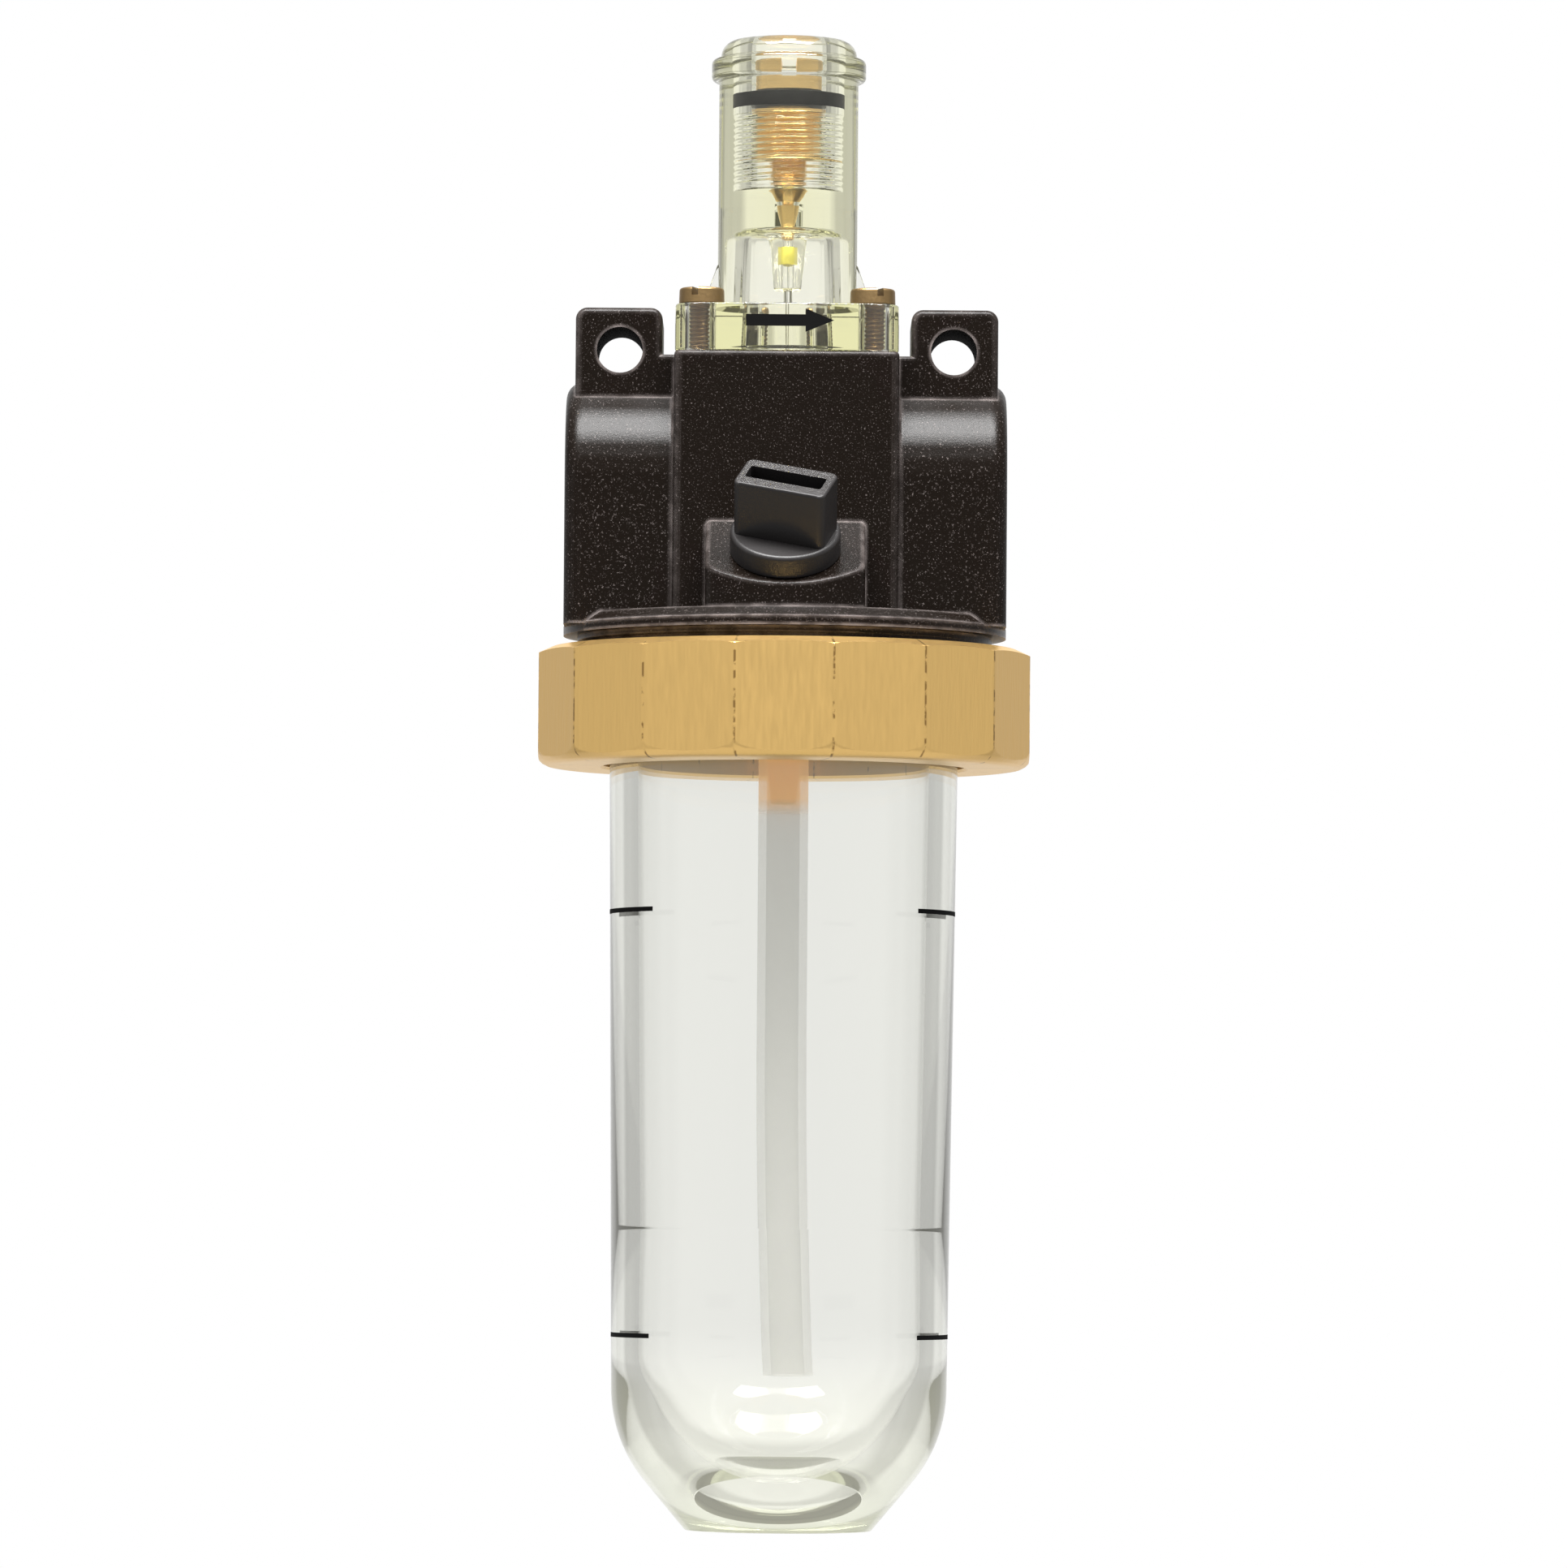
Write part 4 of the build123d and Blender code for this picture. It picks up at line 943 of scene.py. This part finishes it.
def make_needle_screw():
    """Slotted, threaded needle screw with its ring and needle."""
    thread_top = ADJ_LOW_H + ADJ_THREAD_L
    bore = NEEDLE_SHANK_R + GAP
    outline = [(bore, ADJ_LOW_H), (SCREW_THREAD_R - 0.5, ADJ_LOW_H)]
    outline += threaded(SCREW_THREAD_R, ADJ_LOW_H + 0.15, thread_top - 0.1, SCREW_PITCH, SCREW_THREAD)
    outline += rounded([
        (SCREW_THREAD_R - 0.3, thread_top), (ADJ_CORE_R, thread_top, THIN_EDGE),
        (ADJ_CORE_R, ADJ_HEAD_H, THIN_EDGE), (ADJ_HEAD_R, ADJ_HEAD_H, SMALL_EDGE),
        (ADJ_HEAD_R, ADJ_TOP_H, SOFT_EDGE), (0, ADJ_TOP_H),
        (0, NEEDLE_SHANK_H + NEEDLE_SHANK_L), (bore, NEEDLE_SHANK_H + NEEDLE_SHANK_L),
    ])
    obj = turned("needle_screw_brass", outline)
    slot_floor = ADJ_TOP_H - ADJ_SLOT_DEPTH
    half = ADJ_SLOT_W / 2
    shaped(obj, "DIFFERENCE", box("slot", (-half, half), (-5, 5), (slot_floor, ADJ_TOP_H + OVERCUT)))
    place(moved(obj, ON_BLOCK), "needle_screw", "needle_brass", NEEDLE_BRASS, "adjusting_screw", flats=True)
    shank_top = NEEDLE_SHANK_H + NEEDLE_SHANK_L - GAP
    outline = rounded([
        (0, NEEDLE_TIP_H), (NEEDLE_TIP_R, NEEDLE_TIP_H, 0.12), (NEEDLE_R, NEEDLE_SHANK_H, THIN_EDGE)])
    outline += [(NEEDLE_SHANK_R - 0.35, NEEDLE_SHANK_H)]
    outline += threaded(
        NEEDLE_SHANK_R, NEEDLE_SHANK_H + 0.1, shank_top - 0.1, NEEDLE_PITCH, NEEDLE_THREAD)
    outline += [(NEEDLE_SHANK_R - NEEDLE_THREAD, shank_top), (0, shank_top)]
    needle = moved(turned("needle", outline, SMALL), ON_BLOCK)
    place(needle, "needle_screw", "needle_brass", NEEDLE_BRASS, "metering_needle")
    ring = flat_ring("needle_screw_ring", WELL_R + SQUEEZE, ADJ_CORE_R + GAP,
                     ADJ_RING_H, ADJ_RING_H + ADJ_RING_T, ease=ADJ_RING_EDGE)
    place(moved(ring, ON_BLOCK), "needle_seal", "seal_rubber", RUBBER, "adjusting_screw_o_ring")


def make_dome_screws():
    """Four slotted cheese-head screws with threads down to their tips."""
    places = [(x, y) for y in (-DOME_SCREW_AT, DOME_SCREW_AT) for x in (-DOME_SCREW_AT, DOME_SCREW_AT)]
    head = DOME_FLANGE_T + GAP
    for number, (x, y) in enumerate(places, start=1):
        outline = [(0, -DOME_SCREW_GRIP), (DOME_SCREW_R - 0.35, -DOME_SCREW_GRIP)]
        outline += threaded(
            DOME_SCREW_R, -DOME_SCREW_GRIP + 0.3, head - 0.2, DOME_SCREW_PITCH, DOME_SCREW_THREAD, 6)
        outline += rounded([
            (DOME_SCREW_R, head, THIN_EDGE), (DOME_SCREW_HEAD_R, head, 0.12),
            (DOME_SCREW_HEAD_R - 0.06, head + DOME_SCREW_HEAD_H, 0.35), (0, head + DOME_SCREW_HEAD_H),
        ])
        obj = turned(f"cheese_head_screw_{number}", outline, SMALL)
        half = DOME_SCREW_SLOT_W / 2
        low = head + DOME_SCREW_HEAD_H - DOME_SCREW_SLOT_DEPTH
        slot = box("slot", (-5, 5), (-half, half), (low, low + 3))
        moved(slot, Matrix.Rotation(radians(DOME_SCREW_SLOT_ANGLES[number - 1]), 4, "Z"))
        shaped(obj, "DIFFERENCE", slot)
        moved(obj, Matrix.Translation((x, y, BLOCK_TOP)))
        place(obj, "housing", "screw_brass", SCREW_BRASS, f"dome_screw_{number}", flats=True)


def make_flow_arrow():
    """Black arrow on the front of the flange that shows the air's way."""
    tail, neck, tip = -4.9, 2.2, 5.6
    shaft, head = 0.7, 1.4
    middle = BLOCK_TOP + ARROW_H
    plan = [(tail, -shaft), (neck, -shaft), (neck, -head), (tip, 0), (neck, head), (neck, shaft),
            (tail, shaft)]
    obj = prism("flow_arrow", plan, 0, INK_T)
    front = Matrix.Translation((0, -DOME_FLANGE_W / 2 - INK_LIFT, middle))
    moved(obj, front @ Matrix.Rotation(pi / 2, 4, "X"))
    place(obj, "housing", "body_enamel", INK)


# Bowl, nut and what is in the bowl

def bowl_outline():
    """Section of the bowl: inside from the floor up, rim with its groove, outside down to the foot."""
    floor = BOWL_FOOT + BOWL_FLOOR
    angles = [k / BOWL_STEPS * pi / 2 for k in range(BOWL_STEPS)]
    inside = [(BOWL_BORE_LOW * sin(a), floor + BOWL_BORE_LOW * (1 - cos(a))) for a in angles]
    inside.append((BOWL_BORE_LOW, floor + BOWL_BORE_LOW))
    slope = (BOWL_BORE_TOP - BOWL_BORE_LOW) / (BOWL_TOP - floor - BOWL_BORE_LOW)
    mark_r = BOWL_BORE_LOW + slope * (WITNESS_Z - floor - BOWL_BORE_LOW)
    low, high = WITNESS_Z - WITNESS_W / 2, WITNESS_Z + WITNESS_W / 2
    inside += [(mark_r - 0.01, low), (mark_r + WITNESS_DEPTH, WITNESS_Z), (mark_r, high)]
    groove_in, groove_out = BOWL_RING_R - BOWL_RING_W / 2 - GAP, BOWL_RING_R + BOWL_RING_W / 2 + GAP
    groove_floor = BOWL_TOP - BOWL_RING_DEPTH
    rim = rounded([
        (BOWL_BORE_TOP - 0.01, BOWL_TOP - 5), (BOWL_BORE_TOP, BOWL_TOP, SOFT_EDGE),
        (groove_in, BOWL_TOP, SMALL_EDGE), (groove_in, groove_floor, THIN_EDGE),
        (groove_out, groove_floor, THIN_EDGE), (groove_out, BOWL_TOP, SMALL_EDGE),
        (BOWL_FLANGE_R, BOWL_TOP, 0.5), (BOWL_FLANGE_R, BOWL_FLANGE_LOW, 0.4),
        (BOWL_R_TOP, BOWL_FLANGE_LOW, SOFT_EDGE), (BOWL_R_TOP, BOWL_WALL_TOP),
        (BOWL_R_LOW, BOWL_WALL_LOW),
    ])
    slope = radians(BOWL_CONE)
    centre = BOWL_R_LOW - BOWL_BEND_R
    angles = [slope * k / BEND_STEPS for k in range(1, BEND_STEPS + 1)]
    bend = [(centre + BOWL_BEND_R * cos(a), BOWL_WALL_LOW - BOWL_BEND_R * sin(a)) for a in angles]
    end_r, end_z = bend[-1]
    foot_r = end_r - (end_z - BOWL_FOOT) * tan(slope)
    foot = rounded([(end_r, end_z), (foot_r, BOWL_FOOT, SOFT_EDGE), (0, BOWL_FOOT)])[1:]
    return inside + rim + bend + foot


def make_bowl():
    """Clear oil bowl."""
    obj = turned("oil_bowl_shell", bowl_outline(), FINEST)
    place(obj, "oil_bowl", "bowl_clear", BOWL_CLEAR, "bowl", sharp=30.0)
    ring = flat_ring("bowl_ring", BOWL_RING_R + BOWL_RING_W / 2, BOWL_RING_R - BOWL_RING_W / 2,
                     BOWL_TOP - BOWL_RING_DEPTH + GAP, NECK_END - GAP, FINE)
    place(ring, "oil_bowl", "seal_rubber", RUBBER, "bowl_o_ring")
    low, high = BOWL_FLANGE_LOW - 1.0 + GAP, BOWL_FLANGE_LOW - GAP
    slip = flat_ring("bowl_slip_ring", BOWL_FLANGE_R, BOWL_R_TOP + 0.05, low, high, FINE, THIN_EDGE)
    place(slip, "oil_bowl", "slip_plastic", SLIP_WHITE, "slip_ring")


def wall_radius(height):
    """Outer radius of the bowl's wall at a height."""
    share = (height - BOWL_WALL_LOW) / (BOWL_WALL_TOP - BOWL_WALL_LOW)
    return BOWL_R_LOW + share * (BOWL_R_TOP - BOWL_R_LOW)


def level_line(name, height, start, end):
    """Printed line round part of the bowl; angles from the front, in degrees."""
    shape = bmesh.new()
    rows = []
    for dr, dz in ((INK_LIFT, -1), (INK_T, -1), (INK_T, 1), (INK_LIFT, 1)):
        radius = wall_radius(height) + dr
        row = []
        for k in range(LEVEL_STEPS + 1):
            angle = radians(start + (end - start) * k / LEVEL_STEPS)
            z = height + dz * LEVEL_T / 2
            row.append(shape.verts.new((radius * sin(angle), -radius * cos(angle), z)))
        rows.append(row)
    skin(shape, rows, around=False)
    shape.faces.new([row[0] for row in rows])
    shape.faces.new([row[-1] for row in reversed(rows)])
    place(new_object(name, shape), "oil_bowl", "bowl_clear", INK)


def make_level_lines():
    """Highest and lowest oil level, printed left and right on the bowl."""
    level_line("level_line_high_left", LEVEL_MAX, -88, -48)
    level_line("level_line_high_right", LEVEL_MAX, 51, 88)
    level_line("level_line_low_left", LEVEL_MIN, -88, -50)
    level_line("level_line_low_right", LEVEL_MIN, 54, 88)


def make_nut():
    """Sixteen-sided ring nut, turned at its edges, with its inside thread."""
    low, high = NUT_LOW.z, NUT_HIGH.z
    corner = NUT_FLATS / 2 / cos(pi / NUT_SIDES)
    plan = polygon(NUT_SIDES, NUT_FLATS, 0.5)
    nut = bevelled(prism("brass_ring_nut", plan, low - OVERCUT, high + OVERCUT), NUT_EDGE, 15.0)
    blank = turned("blank", rounded([
        (0, low), (corner, low, NUT_ROUND_R), (corner, high - NUT_CHAMFER_H, SOFT_EDGE),
        (corner - NUT_CHAMFER_W, high, SOFT_EDGE), (0, high)]), FINEST)
    shaped(nut, "INTERSECT", blank)
    lip = low + NUT_LIP_T
    thread_low = lip + NUT_RELIEF_H
    bore = [(0, low - OVERCUT), (NUT_LIP_R + 0.5, low - OVERCUT), (NUT_LIP_R + 0.3, low, THIN_EDGE),
            (NUT_LIP_R, low + 0.3), (NUT_LIP_R, lip, THIN_EDGE), (NUT_THREAD_R, lip, SOFT_EDGE)]
    bore = rounded(bore + [(NUT_THREAD_R, thread_low), (0, thread_low)])[:-1]
    bore += threaded(NUT_THREAD_R, thread_low + 0.1, high - 0.3, NECK_PITCH, NECK_THREAD - 0.1)
    bore += [(NUT_THREAD_R, high - 0.25), (NUT_THREAD_R + 0.4, high + OVERCUT), (0, high + OVERCUT)]
    shaped(nut, "DIFFERENCE", turned("nut_bore", bore, FINEST))
    place(nut, "nut", "nut_brass", NUT_BRASS, "union_nut", sharp=40.0, flats=True)


def make_fitting():
    """Barbed brass fitting with its hexagon."""
    tip = FITTING_HEX_LOW - BARB_L
    outline = rounded([
        (FITTING_BORE_R, tip, THIN_EDGE), (BARB_TIP_R, tip, 0.2), (BARB_R, tip + BARB_TAPER_L),
        (BARB_R, FITTING_HEX_LOW + 1.0), (FITTING_R - 0.2, FITTING_HEX_LOW + 1.0),
        (FITTING_R - FITTING_THREAD, FITTING_HEX_TOP + 0.2),
    ])
    outline += threaded(
        FITTING_R, FITTING_HEX_TOP + 0.3, FITTING_TOP - 0.3, FITTING_PITCH, FITTING_THREAD)
    outline += rounded([
        (FITTING_R - FITTING_THREAD, FITTING_TOP, THIN_EDGE), (CHAMBER_R, FITTING_TOP),
        (CHAMBER_R, CHAMBER_FLOOR), (FITTING_BORE_R, CHAMBER_FLOOR),
    ])
    stem = turned("barbed_fitting", outline, SMALL)
    hexagon = prism(
        "hexagon", polygon(6, FITTING_FLATS), FITTING_HEX_LOW - OVERCUT, FITTING_HEX_TOP + OVERCUT)
    bevelled(hexagon, THIN_EDGE)
    corner = FITTING_FLATS / 2 / cos(pi / 6)
    flat = corner - HEX_CHAMFER_W
    inner, low, high = BARB_R - 0.4, FITTING_HEX_LOW, FITTING_HEX_TOP - GAP
    faces = turned("hexagon_faces", [
        (inner, low), (flat, low), (corner, low + HEX_CHAMFER_H), (corner, high - HEX_CHAMFER_H),
        (flat, high), (inner, high)])
    shaped(hexagon, "INTERSECT", faces)
    chamber = rod("chamber", CHAMBER_R, (0, 0, CHAMBER_FLOOR), (0, 0, FITTING_TOP + 1))
    shaped(hexagon, "DIFFERENCE", chamber)
    shaped(stem, "UNION", hexagon)
    place(stem, "housing", "fitting_brass", FITTING_BRASS, "tube_fitting", flats=True)


def make_ball():
    """Steel ball on its seat."""
    shape = bmesh.new()
    bmesh.ops.create_uvsphere(shape, u_segments=32, v_segments=16, radius=BALL_R)
    bmesh.ops.translate(shape, verts=shape.verts, vec=(0, 0, BALL_Z))
    place(new_object("steel_ball", shape), "ball", "ball_steel", STEEL, "check_ball")


def tube_point(height):
    """Middle of the pick-up tube at a height."""
    bend = TUBE_END + TUBE_BENT_L
    if height >= bend:
        return 0.0
    return TUBE_BEND_OFFSET * ((bend - height) / TUBE_BENT_L) ** 2


def make_tube():
    """Milky pick-up tube, slightly set to the right below."""
    shape = bmesh.new()
    rows = []
    down, up = range(TUBE_STEPS + 1), range(TUBE_STEPS, -1, -1)
    angles = [tau * n / SMALL for n in range(SMALL)]
    for radius, order in ((TUBE_R, down), (TUBE_BORE_R, up)):
        for k in order:
            height = TUBE_TOP + (TUBE_END - TUBE_TOP) * k / TUBE_STEPS
            x = tube_point(height)
            rows.append([shape.verts.new((x + radius * cos(a), radius * sin(a), height)) for a in angles])
    skin(shape, rows)
    place(new_object("pick_up_tube", shape), "housing", "tube_nylon", TUBE_MILKY, "dip_tube")


# Filling plug

def make_plug():
    """Black moulded filling plug with its hollow grip, and its ring."""
    outline = [(0, -PLUG_STEM_L), (PLUG_STEM_R - FILL_THREAD, -PLUG_STEM_L)]
    outline += threaded(PLUG_STEM_R, -PLUG_STEM_L + 0.4, -0.4, FILL_PITCH, FILL_THREAD)
    outline += rounded([
        (PLUG_STEM_R, 0.02), (PLUG_HEAD_R, 0.02, 0.2), (PLUG_HEAD_R, PLUG_HEAD_T, 0.5), (0, PLUG_HEAD_T)])
    plug = turned("black_filling_plug", outline)
    top = PLUG_HEAD_T + PLUG_GRIP_H
    plan = rounded_rectangle(PLUG_GRIP_L, PLUG_GRIP_W, PLUG_CORNER_R)
    grip = bevelled(prism("grip", plan, PLUG_HEAD_T / 2, top), 0.35, 50.0, 3)
    pocket_l = PLUG_GRIP_L / 2 - PLUG_GRIP_WALL
    pocket_w = PLUG_GRIP_W / 2 - PLUG_GRIP_SIDE
    pocket_plan = rounded_rectangle(2 * pocket_l, 2 * pocket_w, SOFT_EDGE)
    shaped(grip, "DIFFERENCE", prism("pocket", pocket_plan, top - PLUG_POCKET_DEPTH, top + OVERCUT))
    moved(grip, Matrix.Rotation(radians(PLUG_TURN), 4, "Z"))
    shaped(plug, "UNION", grip)
    place(moved(plug, ON_PLUG_SEAT), "plug", "plug_plastic", PLUG_BLACK, "fill_plug", flats=True)
    ring = flat_ring("filling_plug_ring", PLUG_RING_R, PLUG_STEM_R + GAP, -FILL_RING_T + GAP, -GAP)
    place(moved(ring, ON_PLUG_SEAT), "plug_seal", "seal_rubber", RUBBER, "fill_plug_o_ring")


for make in (
        make_body, make_dome, make_dome_seals, make_jet, make_needle_screw, make_dome_screws,
        make_flow_arrow, make_bowl, make_level_lines, make_nut, make_fitting, make_ball, make_tube,
        make_plug):
    make()

for cad_part in ("venturi_insert", "ball_retainer"):  # shown as they are in the CAD model
    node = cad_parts[cad_part]
    node.data.materials.clear()
    node.data.materials.append(FITTING_BRASS)


# Light and camera

CAMERA_AT = Vector((0.0, -1100.0, -102.2)) * MM
CAMERA_AIM = Vector((0.0, 0.0, -51.55)) * MM
CAMERA_LENS = 210.4
CAMERA_ROLL = 0.45  # in degrees

# Brightness of the surroundings, from behind the camera (0) to behind the object (1)
FRONT_LEVEL = 0.58
WORLD_STEPS = ((0.57, 0.76), (0.62, 0.36), (0.7, 0.36), (0.78, 0.64), (0.92, 0.64), (0.945, 1.0))
STEEP = (0.35, 0.75)  # directions this far from level fade to the level above and below
STEEP_LEVEL = 0.9
BACK_LEVEL = 0.865  # of all of it, but for what the camera sees past the object


def make_world():
    """White behind the object, grey at its sides and beside the camera, which clear plastic bends in."""
    world = bpy.data.worlds.new("studio")
    bpy.context.scene.world = world
    world.use_nodes = True
    tree = world.node_tree
    background = tree.nodes["Background"]
    background.inputs["Color"].default_value = (1.0, 1.0, 1.0, 1.0)
    _, y, z = axes(tree, "Generated")
    around = new_node(tree, "ShaderNodeValToRGB", Fac=graded(tree, y, -1.0, 1.0))
    steps = around.color_ramp.elements
    steps[0].position, steps[0].color = 0.0, (FRONT_LEVEL, FRONT_LEVEL, FRONT_LEVEL, 1)
    steps[1].position, steps[1].color = 1.0, (1, 1, 1, 1)
    for position, value in WORLD_STEPS:
        steps.new(position).color = (value, value, value, 1)
    steep = graded(tree, arithmetic(tree, "ABSOLUTE", z), *STEEP, 0.0, STEEP_LEVEL)
    both = arithmetic(tree, "MAXIMUM", around.outputs["Color"], steep)
    dimmed = arithmetic(tree, "MULTIPLY", both, BACK_LEVEL)
    seen = tree.nodes.new("ShaderNodeLightPath").outputs["Is Camera Ray"]
    feed(tree, arithmetic(tree, "MAXIMUM", dimmed, seen), background.inputs["Strength"])


def softbox(name, position, aim, width, height, power):
    """Large soft light that the camera doesn't see."""
    data = bpy.data.lights.new(name, "AREA")
    data.shape = "RECTANGLE"
    data.size = width
    data.size_y = height
    data.energy = power
    light = in_scene(name, data)
    light.location = position
    light.rotation_euler = (Vector(aim) - Vector(position)).to_track_quat("-Z", "Y").to_euler()
    light.visible_camera = False


def make_camera():
    """Camera level with the lower third of the object, looking slightly up."""
    data = bpy.data.cameras.new("camera")
    data.lens = CAMERA_LENS
    data.clip_start = 0.05
    data.clip_end = 20.0
    camera = in_scene("camera", data)
    camera.location = CAMERA_AT
    look = (CAMERA_AIM - CAMERA_AT).to_track_quat("-Z", "Y")
    camera.rotation_mode = "QUATERNION"
    camera.rotation_quaternion = look @ Matrix.Rotation(radians(CAMERA_ROLL), 3, "Z").to_quaternion()
    bpy.context.scene.camera = camera


make_world()
softbox("overhead softbox", position=(0.0, -0.35, 0.75), aim=(0.0, 0.0, -0.02),
        width=0.9, height=0.25, power=46.0)
make_camera()
bpy.context.scene.view_settings.view_transform = "Standard"
